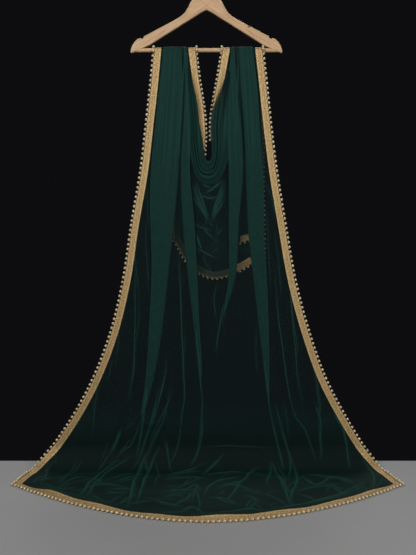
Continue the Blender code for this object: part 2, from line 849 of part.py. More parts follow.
def bead_string(name, edges, spots):
    """A closed string of beads: wide rings at the beads, narrow rings between them."""
    mesh = bpy.data.meshes.new(name)
    shape = bmesh.new()
    rings = []
    walked = walk(spots, edges, BEAD_PITCH)
    middles = [middle for middle, _ in walked]
    for index, (middle, edge) in enumerate(walked):
        along = (middles[min(index + 1, len(middles) - 1)] - middles[max(index - 1, 0)]).normalized()
        inward_side = edge - middle
        inward_side = (inward_side - along * inward_side.dot(along)).normalized()
        up = inward_side.cross(along)
        radius = BEAD_RADIUS if index % 2 else BEAD_NECK_RADIUS
        ring = []
        for step in range(BEAD_SIDES):
            angle = 2 * math.pi * step / BEAD_SIDES
            away = inward_side * math.cos(angle) + up * math.sin(angle)
            ring.append(shape.verts.new(middle + away * radius))
        rings.append(ring)
    for lower, upper in zip(rings, rings[1:]):
        for i in range(BEAD_SIDES):
            j = (i + 1) % BEAD_SIDES
            shape.faces.new((lower[i], lower[j], upper[j], upper[i]))
    shape.faces.new(rings[0])
    shape.faces.new(rings[-1])
    bmesh.ops.recalc_face_normals(shape, faces=shape.faces)
    shape.to_mesh(mesh)
    shape.free()
    made = bpy.data.objects.new(name, mesh)
    bpy.context.collection.objects.link(made)
    mesh.materials.append(material("pearl"))


# half of the hanger's outline above the bar's middle, from the crest round to the apex of the gap
YOKE_OUTLINE = (
    (0.0000, 0.1760), (0.0090, 0.1745), (0.0160, 0.1700), (0.0215, 0.1630), (0.0280, 0.1560),
    (0.0379, 0.1467), (0.0460, 0.1370), (0.0528, 0.1236), (0.0626, 0.1072), (0.0758, 0.0956),
    (0.0956, 0.0841), (0.1418, 0.0603), (0.1830, 0.0390), (0.1856, 0.0335), (0.1900, 0.0318),
    (0.1945, 0.0338), (0.2028, 0.0313), (0.2110, 0.0231), (0.2176, 0.0132), (0.2219, 0.0016),
    (0.2232, -0.0070), (0.2205, -0.0089), (0.1665, 0.0148), (0.0300, 0.0985), (0.0160, 0.1075),
    (0.0000, 0.1150),
)
ARM_FOOT = ((0.1665, 0.0148), (0.2205, -0.0089))
BAR_END_GAP = 2.5 * SEAM


def make_yoke():
    outline = [(x, z) for x, z in YOKE_OUTLINE]
    outline += [(-x, z) for x, z in reversed(YOKE_OUTLINE) if x > 0]
    mesh = bpy.data.meshes.new("hanger_yoke")
    shape = bmesh.new()
    half = WOOD_THICKNESS / 2
    verts = [shape.verts.new((x, -half, BAR_Z + z)) for x, z in outline]
    face = shape.faces.new(verts)
    grown = bmesh.ops.extrude_face_region(shape, geom=[face])
    moved = [v for v in grown["geom"] if isinstance(v, bmesh.types.BMVert)]
    bmesh.ops.translate(shape, verts=moved, vec=(0, WOOD_THICKNESS, 0))
    bmesh.ops.recalc_face_normals(shape, faces=shape.faces)
    shape.to_mesh(mesh)
    shape.free()
    made = bpy.data.objects.new("hanger_yoke", mesh)
    bpy.context.collection.objects.link(made)
    rounding = made.modifiers.new("rounded edges", "BEVEL")
    rounding.width = WOOD_ROUNDING
    rounding.segments = 2
    rounding.limit_method = "ANGLE"
    rounding.angle_limit = math.radians(WOOD_ROUNDED_ABOVE)
    rounding.use_clamp_overlap = True
    mesh.materials.append(material("wood"))
    return made


def arm_foot_x(z):
    (x0, z0), (x1, z1) = ARM_FOOT
    return x0 + (x1 - x0) * (z - z0) / (z1 - z0)


def make_bar():
    """A round bar whose ends are cut to the slope of the arms' feet, a seam's gap from the wood."""
    mesh = bpy.data.meshes.new("hanger_bar")
    shape = bmesh.new()
    rings = []
    for sign in (-1, 1):
        ring = []
        for step in range(BAR_SIDES):
            angle = 2 * math.pi * step / BAR_SIDES
            z = BAR_RADIUS * math.sin(angle)
            x = sign * (arm_foot_x(z) - BAR_END_GAP)
            ring.append(shape.verts.new((x, BAR_RADIUS * math.cos(angle), BAR_Z + z)))
        rings.append(ring)
    for i in range(BAR_SIDES):
        j = (i + 1) % BAR_SIDES
        shape.faces.new((rings[0][i], rings[0][j], rings[1][j], rings[1][i]))
    shape.faces.new(rings[0])
    shape.faces.new(rings[1])
    bmesh.ops.recalc_face_normals(shape, faces=shape.faces)
    shape.to_mesh(mesh)
    shape.free()
    made = bpy.data.objects.new("hanger_bar", mesh)
    bpy.context.collection.objects.link(made)
    mesh.materials.append(material("wood"))


# the shank's middle, across and above the crest, and the hook's arc in degrees from +X
HOOK_SHANK = ((0, SEAM), (0, 0.012), (0, 0.022), (0.0016, 0.0285), (0.0062, 0.0345))
HOOK_ARC_START = -62
HOOK_ARC_END = 206
HOOK_ARC_STEP = 12


def hook_route():
    """The wire's middle: up from the crest, a small bend to the right, and round over the top."""
    ring = HOOK_INNER_RADIUS + HOOK_WIRE / 2
    middle_z = -HOOK_INNER_RADIUS
    wire = [Vector((x, 0, CREST_Z + height)) for x, height in HOOK_SHANK]
    for degrees in range(HOOK_ARC_START, HOOK_ARC_END, HOOK_ARC_STEP):
        angle = math.radians(degrees)
        wire.append(Vector((ring * math.cos(angle), 0, middle_z + ring * math.sin(angle))))
    return wire


def make_hook():
    curve = bpy.data.curves.new("hanger_hook", "CURVE")
    curve.dimensions = "3D"
    curve.bevel_depth = HOOK_WIRE / 2
    curve.bevel_resolution = 2
    curve.use_fill_caps = True
    spots = hook_route()
    spline = curve.splines.new("POLY")
    spline.points.add(len(spots) - 1)
    for point, spot in zip(spline.points, spots):
        point.co = (*spot, 1.0)
    made = bpy.data.objects.new("hanger_hook", curve)
    bpy.context.collection.objects.link(made)
    curve.materials.append(material("steel"))


def main():
    clear_scene()
    make_yoke()
    make_bar()
    make_hook()
    make_strands()
    make_over_bar()
    make_front_fall()
    make_floor_train()
    make_back_flap()
    make_cowl()
    make_borders()


main()
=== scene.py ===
"""A beaded net stole over the bar of a wooden hanger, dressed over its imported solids.

A place on the cloth is (across, drop, rise), all in metres: across is X, drop is the length of cloth down
from the bar, and rise lifts a point off the cloth's route, forwards where it hangs and up where it lies.
"""
import math

import bpy
import numpy as np
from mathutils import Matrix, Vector


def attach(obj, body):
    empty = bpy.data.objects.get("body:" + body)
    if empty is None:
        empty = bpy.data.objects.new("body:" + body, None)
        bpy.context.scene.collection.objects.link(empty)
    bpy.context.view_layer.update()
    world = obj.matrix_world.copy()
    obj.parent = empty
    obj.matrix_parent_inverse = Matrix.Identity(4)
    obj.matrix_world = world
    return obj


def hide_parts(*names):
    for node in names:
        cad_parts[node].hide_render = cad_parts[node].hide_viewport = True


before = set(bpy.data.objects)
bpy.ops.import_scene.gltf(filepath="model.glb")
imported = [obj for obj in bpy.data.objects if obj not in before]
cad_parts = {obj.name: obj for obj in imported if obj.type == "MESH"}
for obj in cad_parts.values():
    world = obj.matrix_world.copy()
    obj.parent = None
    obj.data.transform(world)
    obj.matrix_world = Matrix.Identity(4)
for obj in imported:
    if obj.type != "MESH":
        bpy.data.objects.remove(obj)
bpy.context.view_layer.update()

bl_info = {
    "name": "Beaded Net Stole",
    "version": (1, 0, 0),
    "blender": (4, 5, 0),
    "location": "3D View > Sidebar > Stole",
    "description": "Builds a net stole with a gold border and pearls, hung over a wooden hanger",
    "category": "Add Mesh",
}

# hanger and route of the cloth, as the solids have them
BAR_Z = -0.261
BAR_RADIUS = 0.006
WALL = 0.001
SEAM = 0.0003
BORDER_WIDTH = 0.0185
BEAD_RADIUS = 0.0044
BAR_TO_CLOTH = BAR_RADIUS + SEAM + WALL / 2
FLOOR_Z = BAR_Z - 1.252
CLOTH_FLOOR_Z = FLOOR_Z + WALL / 2
LEAN = 0.012
FOOT_RADIUS = 0.07
FOOT_DROP = BAR_Z - CLOTH_FLOOR_Z - FOOT_RADIUS
FOOT_LENGTH = FOOT_RADIUS * math.pi / 2
FOOT_END_Y = -BAR_TO_CLOTH - LEAN * FOOT_DROP - FOOT_RADIUS
SLIT_DROP = 0.355
SETTLE_ROUNDS = 40
SETTLE_SHARE = 0.6

# front hem, measured at the border's outer edge
HEM_MIDDLE_X = 0.004
HEM_FRONT_Y = -0.450
HEM_SWEEP = 0.266
HEM_HALF_WIDTH = 0.556
HEM_POWER = 1.83

# pleats
PITCH_ON_BAR = 0.0014
PITCH_HANGING = 0.0026
PITCH_GROWS_OVER = 0.15
UNFOLDS_AT = -0.004
FLAT_AT = -0.012
FLAT_SPREAD = 0.001
LEAST_SPREAD = 0.0002
PLEAT_EDGE = 0.002
OVERLAP_FADE = 0.006
HIDDEN_SHARE = 0.8
TURN_STEPS = 5

# camera and floor
CAMERA_LENS = 51.7
CAMERA_AT = (0.0047, -2.4, -0.700)
CAMERA_PITCH = 5.55
CAMERA_SENSOR = 36.0
FLOOR_BACK_Y = 0.03
FLOOR_FRONT_Y = -2.2
FLOOR_HALF_WIDTH = 2.6
FLOOR_GAP = 0.0004
LIGHTS_AIM = (0.0, -0.05, -0.75)
LAYERS_SEEN = 48

# how finely the net is cut into faces
ACROSS_STEP = 0.0027
DOWN_STEP = 0.0041
STRAND_STEP = 0.0026
TRAIN_STEP = 0.0027
TRAIN_WIDTH = 1.05
TRAIN_LENGTH = 0.47
FLAP_COLUMNS = 90
FLAP_ROWS = 62

# places along each border's line
LYING_STEPS = 110
HANGING_STEPS = 400
BAR_STEPS = 12
BEHIND_STEPS = 200
NECK_BEHIND_STEPS = 100
NECK_FRONT_STEPS = 90
FRONT_HEM_STEPS = 380
BACK_HEM_STEPS = 110
CORNER_STEPS = 24


def ease(value):
    value = np.clip(value, 0.0, 1.0)
    return value * value * (3 - 2 * value)


class Table:
    """Rows of numbers under named columns, read smoothly along the first column, for many places at once."""

    def __init__(self, columns, rows):
        self.columns = columns.split()
        self.rows = np.array(rows, dtype=float)

    def at(self, column, places):
        keys = self.rows[:, 0]
        values = self.rows[:, self.columns.index(column)]
        slopes = np.gradient(values, keys)
        places = np.clip(np.asarray(places, dtype=float), keys[0], keys[-1])
        i = np.clip(np.searchsorted(keys, places) - 1, 0, len(keys) - 2)
        span = keys[i + 1] - keys[i]
        t = (places - keys[i]) / span
        return (
            values[i] * (1 + 2 * t) * (1 - t) ** 2
            + slopes[i] * span * t * (1 - t) ** 2
            + values[i + 1] * t * t * (3 - 2 * t)
            + slopes[i + 1] * span * t * t * (t - 1)
        )


# the border's outer edges, down the front and down the back
FRONT = Table("drop left right", (
    (0.00, -0.151, 0.162),
    (0.10, -0.161, 0.174),
    (0.20, -0.173, 0.185),
    (0.34, -0.190, 0.203),
    (0.51, -0.220, 0.232),
    (0.69, -0.249, 0.266),
    (0.85, -0.290, 0.311),
    (0.98, -0.341, 0.359),
    (1.10, -0.406, 0.422),
    (1.18, -0.460, 0.471),
    (1.24, -0.508, 0.513),
    (1.29, -0.532, 0.537),
    (1.34, -0.543, 0.548),
    (1.39, -0.551, 0.560),
))
BACK = Table("drop left right", (
    (0.00, -0.151, 0.162),
    (0.11, -0.146, 0.164),
    (0.27, -0.127, 0.167),
    (0.40, -0.110, 0.169),
    (0.52, -0.100, 0.172),
    (0.70, -0.094, 0.176),
))
# the neck slit's edges
NECK = Table("drop left right", (
    (0.00, -0.034, 0.050),
    (0.05, -0.028, 0.041),
    (0.10, -0.021, 0.032),
    (0.15, -0.013, 0.023),
    (0.20, -0.0065, 0.0160),
    (0.25, -0.0050, 0.0150),
    (0.30, -0.0080, 0.0195),
    (0.36, -0.0130, 0.0300),
))
BACK_NECK = Table("drop left right", (
    (0.000, -0.034, 0.050),
    (0.050, -0.037, 0.051),
    (0.100, -0.032, 0.043),
    (0.200, -0.018, 0.027),
    (0.300, -0.018, 0.029),
    (0.322, -0.016, 0.027),
    (0.345, -0.004, 0.016),
    (0.360, 0.005, 0.007),
))
# each pleat's overlap lies between its near and far edge, and is spent where far passes under near
FRONT_PLEATS = {
    "left_outer": Table("drop near far", (
        (0.00, -0.126, -0.074),
        (0.10, -0.137, -0.070),
        (0.20, -0.148, -0.075),
        (0.37, -0.165, -0.085),
        (0.68, -0.164, -0.118),
        (0.82, -0.172, -0.134),
        (0.98, -0.184, -0.162),
        (1.06, -0.195, -0.184),
        (1.15, -0.212, -0.225),
        (1.40, -0.290, -0.303),
    )),
    "left_inner": Table("drop near far", (
        (0.00, -0.066, -0.058),
        (0.10, -0.063, -0.049),
        (0.20, -0.067, -0.044),
        (0.34, -0.075, -0.050),
        (0.51, -0.069, -0.037),
        (0.80, -0.039, -0.023),
        (0.98, -0.018, -0.015),
        (1.06, -0.011, -0.020),
        (1.15, -0.016, -0.030),
        (1.40, -0.030, -0.044),
    )),
    "right_inner": Table("drop near far", (
        (0.00, 0.074, 0.082),
        (0.10, 0.063, 0.088),
        (0.20, 0.061, 0.100),
        (0.34, 0.067, 0.108),
        (0.51, 0.068, 0.095),
        (0.68, 0.067, 0.084),
        (0.76, 0.055, 0.061),
        (0.88, 0.037, 0.032),
        (0.98, 0.036, 0.022),
        (1.40, 0.050, 0.036),
    )),
    "right_outer": Table("drop near far", (
        (0.00, 0.095, 0.136),
        (0.10, 0.101, 0.148),
        (0.20, 0.110, 0.155),
        (0.37, 0.119, 0.168),
        (0.54, 0.127, 0.171),
        (0.68, 0.143, 0.181),
        (0.89, 0.168, 0.189),
        (1.06, 0.192, 0.192),
        (1.15, 0.210, 0.197),
        (1.40, 0.290, 0.277),
    )),
}
BACK_PLEATS = {
    "left_outer": Table("drop near far", (
        (0.00, -0.126, -0.074),
        (0.15, -0.116, -0.084),
        (0.36, -0.077, -0.077),
        (0.41, -0.067, -0.077),
        (0.50, -0.062, -0.075),
        (0.70, -0.056, -0.069),
    )),
    "left_inner": Table("drop near far", (
        (0.00, -0.066, -0.058),
        (0.15, -0.066, -0.056),
        (0.36, -0.050, -0.050),
        (0.41, -0.041, -0.051),
        (0.50, -0.032, -0.045),
        (0.70, -0.024, -0.037),
    )),
    "right_inner": Table("drop near far", (
        (0.00, 0.074, 0.082),
        (0.15, 0.064, 0.078),
        (0.36, 0.064, 0.064),
        (0.41, 0.066, 0.056),
        (0.50, 0.062, 0.049),
        (0.70, 0.066, 0.052),
    )),
    "right_outer": Table("drop near far", (
        (0.00, 0.095, 0.136),
        (0.15, 0.100, 0.132),
        (0.36, 0.113, 0.113),
        (0.41, 0.118, 0.108),
        (0.50, 0.118, 0.105),
        (0.70, 0.120, 0.107),
    )),
}
# soft ridges that stand between the pleats: where each starts and ends, its height, and its line
RIDGES = (
    (0.70, 1.15, 0.005, ((0.36, -0.160), (0.78, -0.262), (0.99, -0.315), (1.11, -0.355), (1.2, -0.39))),
    (0.45, 1.18, 0.007, ((0.36, -0.135), (0.68, -0.216), (0.95, -0.217), (1.09, -0.260), (1.2, -0.30))),
    (0.85, 1.18, 0.006, ((0.36, -0.058), (0.66, -0.092), (0.98, -0.126), (1.12, -0.160), (1.2, -0.19))),
    (0.60, 1.18, 0.007, ((0.36, -0.054), (0.68, -0.075), (0.94, -0.068), (1.08, -0.078), (1.2, -0.09))),
    (0.40, 0.66, 0.006, ((0.36, -0.034), (0.40, -0.030), (0.51, 0.006), (0.80, 0.002), (1.2, 0.00))),
    (0.42, 0.62, 0.006, ((0.36, 0.046), (0.43, 0.048), (0.51, 0.026), (0.80, 0.016), (1.2, 0.02))),
    (0.50, 1.00, 0.005, ((0.36, 0.145), (0.60, 0.115), (0.80, 0.105), (1.00, 0.105), (1.2, 0.11))),
    (0.55, 1.18, 0.007, ((0.36, 0.172), (0.71, 0.209), (0.98, 0.242), (1.10, 0.271), (1.2, 0.30))),
    (0.50, 1.12, 0.006, ((0.36, 0.176), (0.68, 0.232), (0.89, 0.269), (1.03, 0.288), (1.2, 0.33))),
    (0.80, 1.18, 0.006, ((0.36, 0.180), (0.68, 0.243), (0.94, 0.322), (1.11, 0.348), (1.2, 0.38))),
)
RIDGE_FADE = 0.12
RIDGE_HALF_WIDTH = 0.016
# low crumples of the train: middle, half length, half width, heading in degrees from +X, height
CRUMPLES = (
    (-0.43, -0.150, 0.10, 0.024, 30, 0.0065),
    (-0.29, -0.210, 0.14, 0.026, -24, 0.0070),
    (-0.15, -0.150, 0.13, 0.026, 20, 0.0075),
    (-0.11, -0.320, 0.12, 0.024, -10, 0.0060),
    (0.03, -0.220, 0.12, 0.028, 34, 0.0070),
    (0.10, -0.360, 0.13, 0.024, 4, 0.0060),
    (0.17, -0.140, 0.12, 0.026, -30, 0.0075),
    (0.29, -0.230, 0.14, 0.026, 22, 0.0070),
    (0.42, -0.170, 0.10, 0.024, -26, 0.0065),
)
CRUMPLE_FREE_EDGE = 0.07

# creases pinched into the front: how gathered (which also paints the crease lighter, a painted sheen), half
# width and height in millimetres, and the line as drop, across, drop, across and so on in millimetres
CREASES = (
    (0.35, 2.2, 2.0, (1045, -345, 1098, -343)),
    (0.35, 2.0, 2.0, (1169, -301, 1206, -310, 1240, -323)),
    (0.75, 4.5, 4.0, (1135, -261, 1163, -270, 1194, -283, 1212, -295)),
    (0.60, 2.2, 3.0, (1209, -295, 1237, -311, 1272, -326)),
    (0.30, 1.8, 1.5, (1119, -227, 1145, -252)),
    (0.60, 2.4, 3.0, (1107, -200, 1145, -212, 1191, -231, 1197, -249, 1224, -273)),
    (0.45, 2.0, 2.5, (1166, -228, 1185, -246, 1224, -273)),
    (0.45, 2.2, 2.5, (1107, -166, 1160, -182, 1200, -194, 1240, -211, 1278, -232)),
    (0.95, 2.8, 5.0, (1221, -233, 1244, -265, 1278, -298, 1359, -314, 1431, -324, 1498, -336)),
    (0.60, 2.6, 3.5, (1234, -464, 1263, -478, 1300, -474, 1351, -478, 1383, -497)),
    (0.60, 2.2, 3.0, (1230, -379, 1284, -396, 1334, -411, 1391, -418)),
    (0.35, 2.0, 2.0, (1206, -463, 1247, -456)),
    (1.00, 3.4, 6.0, (1194, -145, 1221, -160, 1259, -170, 1334, -180, 1438, -183, 1520, -187)),
    (0.55, 2.2, 3.0, (1107, -130, 1166, -163, 1230, -184)),
    (0.55, 2.2, 3.0, (1107, -78, 1160, -81, 1218, -96, 1251, -116)),
    (0.80, 3.0, 4.5, (1107, -11, 1160, -14, 1218, -29, 1251, -50)),
    (0.65, 2.4, 3.5, (1166, -130, 1200, -121, 1234, -114, 1278, -106)),
    (0.55, 2.2, 3.0, (1230, -157, 1259, -149, 1308, -140, 1399, -149)),
    (0.75, 2.6, 4.0, (1317, -125, 1291, -85, 1268, -43, 1244, -14)),
    (0.80, 2.6, 4.5, (1308, -13, 1251, 17, 1212, 54)),
    (0.80, 2.8, 4.5, (1255, 153, 1300, 129, 1391, 93, 1505, 59)),
    (0.35, 2.2, 2.0, (1194, -17, 1188, 57, 1191, 127, 1194, 201)),
    (0.80, 2.4, 4.0, (1107, 200, 1154, 210, 1200, 222, 1244, 232, 1272, 227)),
    (0.80, 2.6, 4.0, (1110, 221, 1154, 234, 1200, 249, 1230, 257, 1278, 251, 1342, 238)),
    (0.35, 1.8, 2.0, (1045, 233, 1091, 243, 1147, 252, 1169, 243)),
    (0.60, 2.2, 3.0, (1045, 254, 1098, 270, 1126, 295, 1151, 307, 1175, 314, 1206, 326, 1237, 333)),
    (0.80, 2.8, 4.0, (1045, 327, 1079, 337, 1110, 350, 1169, 347, 1206, 353, 1230, 346)),
    (0.85, 2.8, 4.5, (1070, 389, 1101, 395, 1129, 417, 1179, 427, 1218, 432, 1263, 433)),
    (0.70, 2.4, 3.5, (1228, 480, 1268, 495, 1308, 496, 1351, 490, 1415, 471)),
    (0.95, 2.8, 5.0, (1268, 185, 1237, 202, 1268, 206, 1351, 217, 1446, 219, 1555, 230)),
    (0.90, 2.8, 5.0, (1224, 261, 1278, 269, 1359, 263, 1438, 245, 1520, 226)),
    (0.55, 2.2, 3.0, (600, -212, 678, -216, 781, -213, 873, -219, 949, -217, 1011, -231, 1091, -252)),
    (0.40, 2.2, 2.0, (740, -262, 781, -267, 867, -265, 930, -275)),
    (0.65, 2.6, 3.0, (560, -85, 678, -79, 818, -75, 940, -70, 1036, -65, 1082, -74, 1200, -86)),
    (0.65, 2.6, 3.0, (900, -118, 977, -126, 1051, -145, 1113, -167, 1218, -202)),
    (0.55, 2.2, 3.0, (980, -108, 1057, -117, 1123, -135, 1218, -181)),
    (0.45, 2.2, 2.5, (940, -322, 986, -330, 1104, -343, 1160, -352)),
    (0.55, 2.4, 3.0, (610, 240, 678, 250, 781, 258, 888, 269, 977, 275, 1030, 288, 1100, 300)),
    (0.60, 2.4, 3.0, (640, 204, 711, 209, 799, 216, 860, 227, 977, 242, 1036, 253, 1101, 271, 1151, 307)),
    (0.45, 2.2, 2.5, (880, 318, 940, 334, 1030, 336, 1110, 348, 1173, 350)),
    (0.50, 2.2, 2.5, (1040, 205, 1091, 218, 1188, 246, 1240, 262)),
    (0.45, 2.2, 2.5, (1020, 370, 1082, 393, 1129, 419)),
    (0.50, 2.6, 2.5, (1378, -469, 1397, -446, 1416, -424, 1412, -413)),
    (0.50, 2.6, 2.5, (1435, -433, 1408, -413, 1386, -393, 1374, -367)),
    (0.60, 3.2, 3.0, (1405, -420, 1378, -405, 1346, -391, 1330, -371, 1330, -349)),
    (0.50, 2.6, 2.5, (1424, -389, 1428, -367, 1442, -348)),
    (0.50, 2.6, 2.5, (1446, -380, 1468, -365, 1489, -355)),
    (0.85, 4.0, 4.5, (1489, -354, 1453, -346, 1401, -338, 1346, -329, 1289, -315, 1251, -293, 1231, -271)),
    (0.50, 2.6, 2.5, (1457, -340, 1460, -321, 1482, -302, 1510, -289)),
    (0.60, 3.0, 3.0, (1496, -350, 1507, -322, 1514, -298, 1524, -273, 1514, -253, 1482, -239, 1460, -226)),
    (0.50, 2.6, 2.5, (1435, -287, 1450, -269, 1457, -247, 1457, -225)),
    (0.50, 2.6, 2.5, (1397, -297, 1386, -277, 1405, -253, 1416, -227)),
    (0.60, 3.2, 3.0, (1358, -297, 1334, -278, 1314, -252, 1297, -230, 1293, -205)),
    (0.50, 2.6, 2.5, (1354, -272, 1358, -244, 1354, -214)),
    (0.95, 5.0, 6.0, (1205, -175, 1231, -192, 1251, -198, 1289, -202, 1354, -208, 1416, -209, 1489,
     -207, 1551, -210)),
    (0.80, 3.6, 4.0, (1210, -184, 1238, -186, 1282, -174, 1338, -176, 1386, -179, 1431, -185, 1460, -185)),
    (0.50, 2.6, 2.5, (1496, -171, 1510, -154, 1520, -138)),
    (0.50, 2.6, 2.5, (1531, -231, 1510, -209)),
    (0.50, 4.0, 3.0, (1378, -500, 1346, -501, 1305, -475, 1297, -468)),
    (0.60, 2.6, 3.0, (1405, -472, 1354, -474, 1314, -471, 1282, -482, 1251, -484, 1231, -480)),
    (0.60, 2.6, 3.0, (1393, -425, 1338, -421, 1289, -407, 1255, -401, 1234, -394)),
    (0.50, 2.6, 2.5, (1314, -351, 1289, -332, 1276, -310)),
    (0.70, 3.0, 3.5, (1316, -124, 1289, -94, 1276, -64, 1264, -45, 1253, -28)),
    (0.50, 2.6, 2.5, (1286, -48, 1279, -29, 1279, -11)),
    (0.70, 4.0, 3.5, (1307, -11, 1273, 2, 1255, 17, 1233, 36)),
    (0.50, 2.6, 2.5, (1359, -124, 1346, -104, 1320, -81)),
    (0.50, 3.6, 3.0, (1320, -4, 1302, 17, 1289, 42, 1294, 73)),
    (0.50, 2.6, 2.5, (1329, 41, 1294, 66, 1279, 82, 1282, 104, 1298, 122)),
    (0.85, 4.0, 4.5, (1469, -5, 1405, 8, 1364, 29, 1338, 53, 1334, 81)),
    (0.85, 4.0, 4.5, (1418, 34, 1401, 55, 1393, 76, 1380, 100, 1329, 120, 1273, 135, 1259, 149, 1259, 158)),
    (0.75, 4.0, 4.0, (1510, 52, 1469, 70, 1422, 86, 1380, 100)),
    (0.70, 4.0, 4.0, (1457, -104, 1434, -88, 1434, -59, 1401, -42, 1368, -25)),
    (0.50, 2.6, 2.5, (1422, -77, 1372, -61, 1329, -41)),
    (0.50, 2.6, 2.5, (1465, -113, 1469, -92, 1484, -72, 1492, -58)),
    (0.50, 2.6, 2.5, (1507, -153, 1525, -129, 1540, -109, 1544, -95)),
    (0.80, 4.4, 4.5, (1551, -94, 1533, -67, 1499, -49, 1453, -41)),
    (0.60, 3.0, 3.0, (1579, -66, 1562, -50, 1551, -35)),
    (0.70, 3.4, 4.0, (1430, -30, 1499, -21, 1551, -17, 1579, -20)),
    (0.50, 2.6, 2.5, (1397, -34, 1449, -18)),
    (0.50, 2.6, 2.5, (1376, -31, 1430, -16)),
    (0.75, 3.4, 3.5, (1484, 5, 1488, 27, 1514, 44, 1529, 66, 1533, 88)),
    (0.60, 3.0, 3.0, (1480, 93, 1476, 116, 1496, 132, 1514, 150)),
    (0.50, 2.6, 2.5, (1426, 95, 1426, 121, 1438, 144, 1453, 166)),
    (0.50, 2.6, 2.5, (1473, 162, 1457, 177, 1434, 196)),
    (0.70, 4.0, 4.0, (1579, 105, 1529, 113, 1496, 129)),
    (0.50, 2.6, 2.5, (1544, 118, 1551, 134, 1579, 149)),
    (0.70, 4.0, 4.0, (1389, 171, 1329, 184, 1264, 194, 1240, 197)),
    (0.90, 4.0, 5.0, (1266, 201, 1338, 211, 1397, 217, 1461, 220, 1522, 225, 1551, 233)),
    (0.50, 2.6, 2.5, (1251, 215, 1294, 227, 1380, 234)),
    (0.50, 2.6, 2.5, (1469, 28, 1457, 45, 1438, 51)),
    (0.50, 2.6, 2.5, (1409, -124, 1405, -104, 1389, -84)),
    (0.50, 2.6, 2.5, (1565, 169, 1536, 179, 1529, 187)),
    (0.90, 4.2, 5.0, (1512, 229, 1461, 236, 1415, 251, 1359, 264, 1278, 267, 1251, 267)),
    (0.60, 3.0, 3.0, (1423, 223, 1391, 242, 1359, 265, 1313, 288, 1304, 301)),
    (0.50, 2.6, 2.5, (1468, 249, 1472, 269, 1491, 283, 1509, 297)),
    (0.80, 4.6, 4.5, (1334, 298, 1391, 305, 1403, 314, 1367, 340, 1342, 358, 1338, 382, 1367, 394,
     1379, 410, 1391, 425)),
    (0.80, 4.0, 4.0, (1555, 230, 1530, 265, 1512, 300, 1487, 336, 1461, 373, 1423, 408, 1395, 438,
     1375, 462)),
    (0.60, 2.6, 3.0, (1371, 339, 1407, 354, 1446, 370, 1476, 382, 1498, 387)),
    (0.50, 2.6, 2.5, (1446, 337, 1411, 350)),
    (0.50, 2.6, 2.5, (1403, 357, 1419, 374, 1430, 395)),
    (0.70, 3.4, 3.5, (1228, 477, 1251, 489, 1291, 497, 1350, 490, 1407, 474, 1423, 467)),
    (0.50, 2.6, 2.5, (1415, 482, 1383, 502, 1326, 518)),
    (0.50, 2.6, 2.5, (1342, 515, 1359, 520, 1363, 534)),
    (0.50, 2.6, 2.5, (1251, 256, 1278, 251, 1334, 239)),
    (0.50, 2.6, 2.5, (1399, 443, 1438, 447, 1461, 449)),
    (0.34, 2.2, 2.0, (356, -181, 460, -176, 558, -168)),
    (0.46, 2.2, 2.0, (540, -222, 570, -220, 645, -211, 730, -201)),
    (0.42, 2.2, 2.0, (500, -182, 615, -179, 720, -172)),
    (0.40, 2.2, 2.0, (380, 173, 436, 198, 500, 205)),
    (0.38, 2.2, 2.0, (448, 176, 522, 183, 615, 187, 720, 194)),
    (0.44, 2.2, 2.0, (530, 203, 633, 218, 740, 226)),
    (0.80, 3.0, 4.0, (1008, -181, 1082, -190, 1157, -200, 1224, -215)),
    (0.75, 2.8, 4.0, (845, -32, 937, -23, 998, -17, 1045, -11, 1138, -17, 1218, -29)),
    (0.70, 2.8, 3.0, (724, 59, 793, 44, 866, 32, 916, 29)),
    (0.75, 2.8, 4.0, (928, 175, 1030, 187, 1132, 203, 1215, 225, 1259, 234)),
    (0.50, 2.2, 2.5, (687, 35, 732, 20, 781, 29, 806, 20)),
    (0.40, 2.0, 2.0, (814, -62, 906, -68, 1020, -71)),
    (0.45, 2.2, 2.5, (702, -206, 793, -201, 879, -216, 1008, -229, 1082, -233)),
    (0.40, 2.2, 2.0, (769, -270, 870, -263, 906, -277)),
    (0.35, 2.2, 2.0, (906, -283, 998, -302)),
    (0.50, 2.2, 2.5, (606, 227, 684, 251, 812, 263, 879, 277, 928, 269, 1014, 278)),
    (0.40, 2.2, 2.0, (814, 153, 897, 147, 977, 157)),
    (0.50, 2.4, 2.5, (824, 301, 946, 326, 1057, 349, 1116, 341, 1224, 352)),
    (0.60, 2.4, 3.0, (992, -141, 1116, -169, 1176, -191, 1237, -211)),
    (0.50, 2.4, 2.5, (968, -126, 1045, -145, 1144, -169)),
    (0.55, 2.4, 3.0, (1008, -96, 1094, -136, 1176, -176)),
    (0.40, 2.2, 2.0, (1169, -121, 1240, -114)),
    (0.40, 2.2, 2.0, (588, -1, 624, -10, 648, 17, 678, 2)),
    (0.64, 3.6, 0.8, (386, -31, 412, -22, 439, -13, 474, -1, 504, 8)),
    (0.64, 4.0, 0.8, (406, -35, 433, -25, 462, -13, 486, -1, 506, 9)),
    (0.64, 3.6, 0.8, (428, -40, 446, -28, 465, -16, 486, -3, 507, 9)),
    (0.45, 4.2, 0.5, (392, -34, 412, -34, 439, -25)),
    (0.64, 3.4, 0.8, (498, 14, 460, 24, 428, 35, 383, 51)),
    (0.64, 4.0, 0.8, (501, 14, 465, 29, 427, 43, 394, 54)),
    (0.64, 3.4, 0.8, (503, 13, 485, 24, 468, 35, 439, 54)),
    (0.45, 4.2, 0.5, (460, 35, 433, 46, 409, 55)),
    (0.75, 3.0, 3.0, (418, -5, 410, 13, 398, 30, 386, 45)),
    (0.55, 3.0, 2.5, (409, 14, 393, 31, 378, 49)),
    (0.75, 2.8, 3.0, (423, -22, 430, -5, 435, 13, 427, 35)),
    (0.75, 2.6, 2.5, (384, -13, 399, -3, 399, 17)),
    (0.55, 2.6, 2.5, (508, -37, 519, -22, 525, -1, 530, 21)),
    (0.60, 2.6, 2.5, (516, -8, 530, -5, 543, 8, 555, 27)),
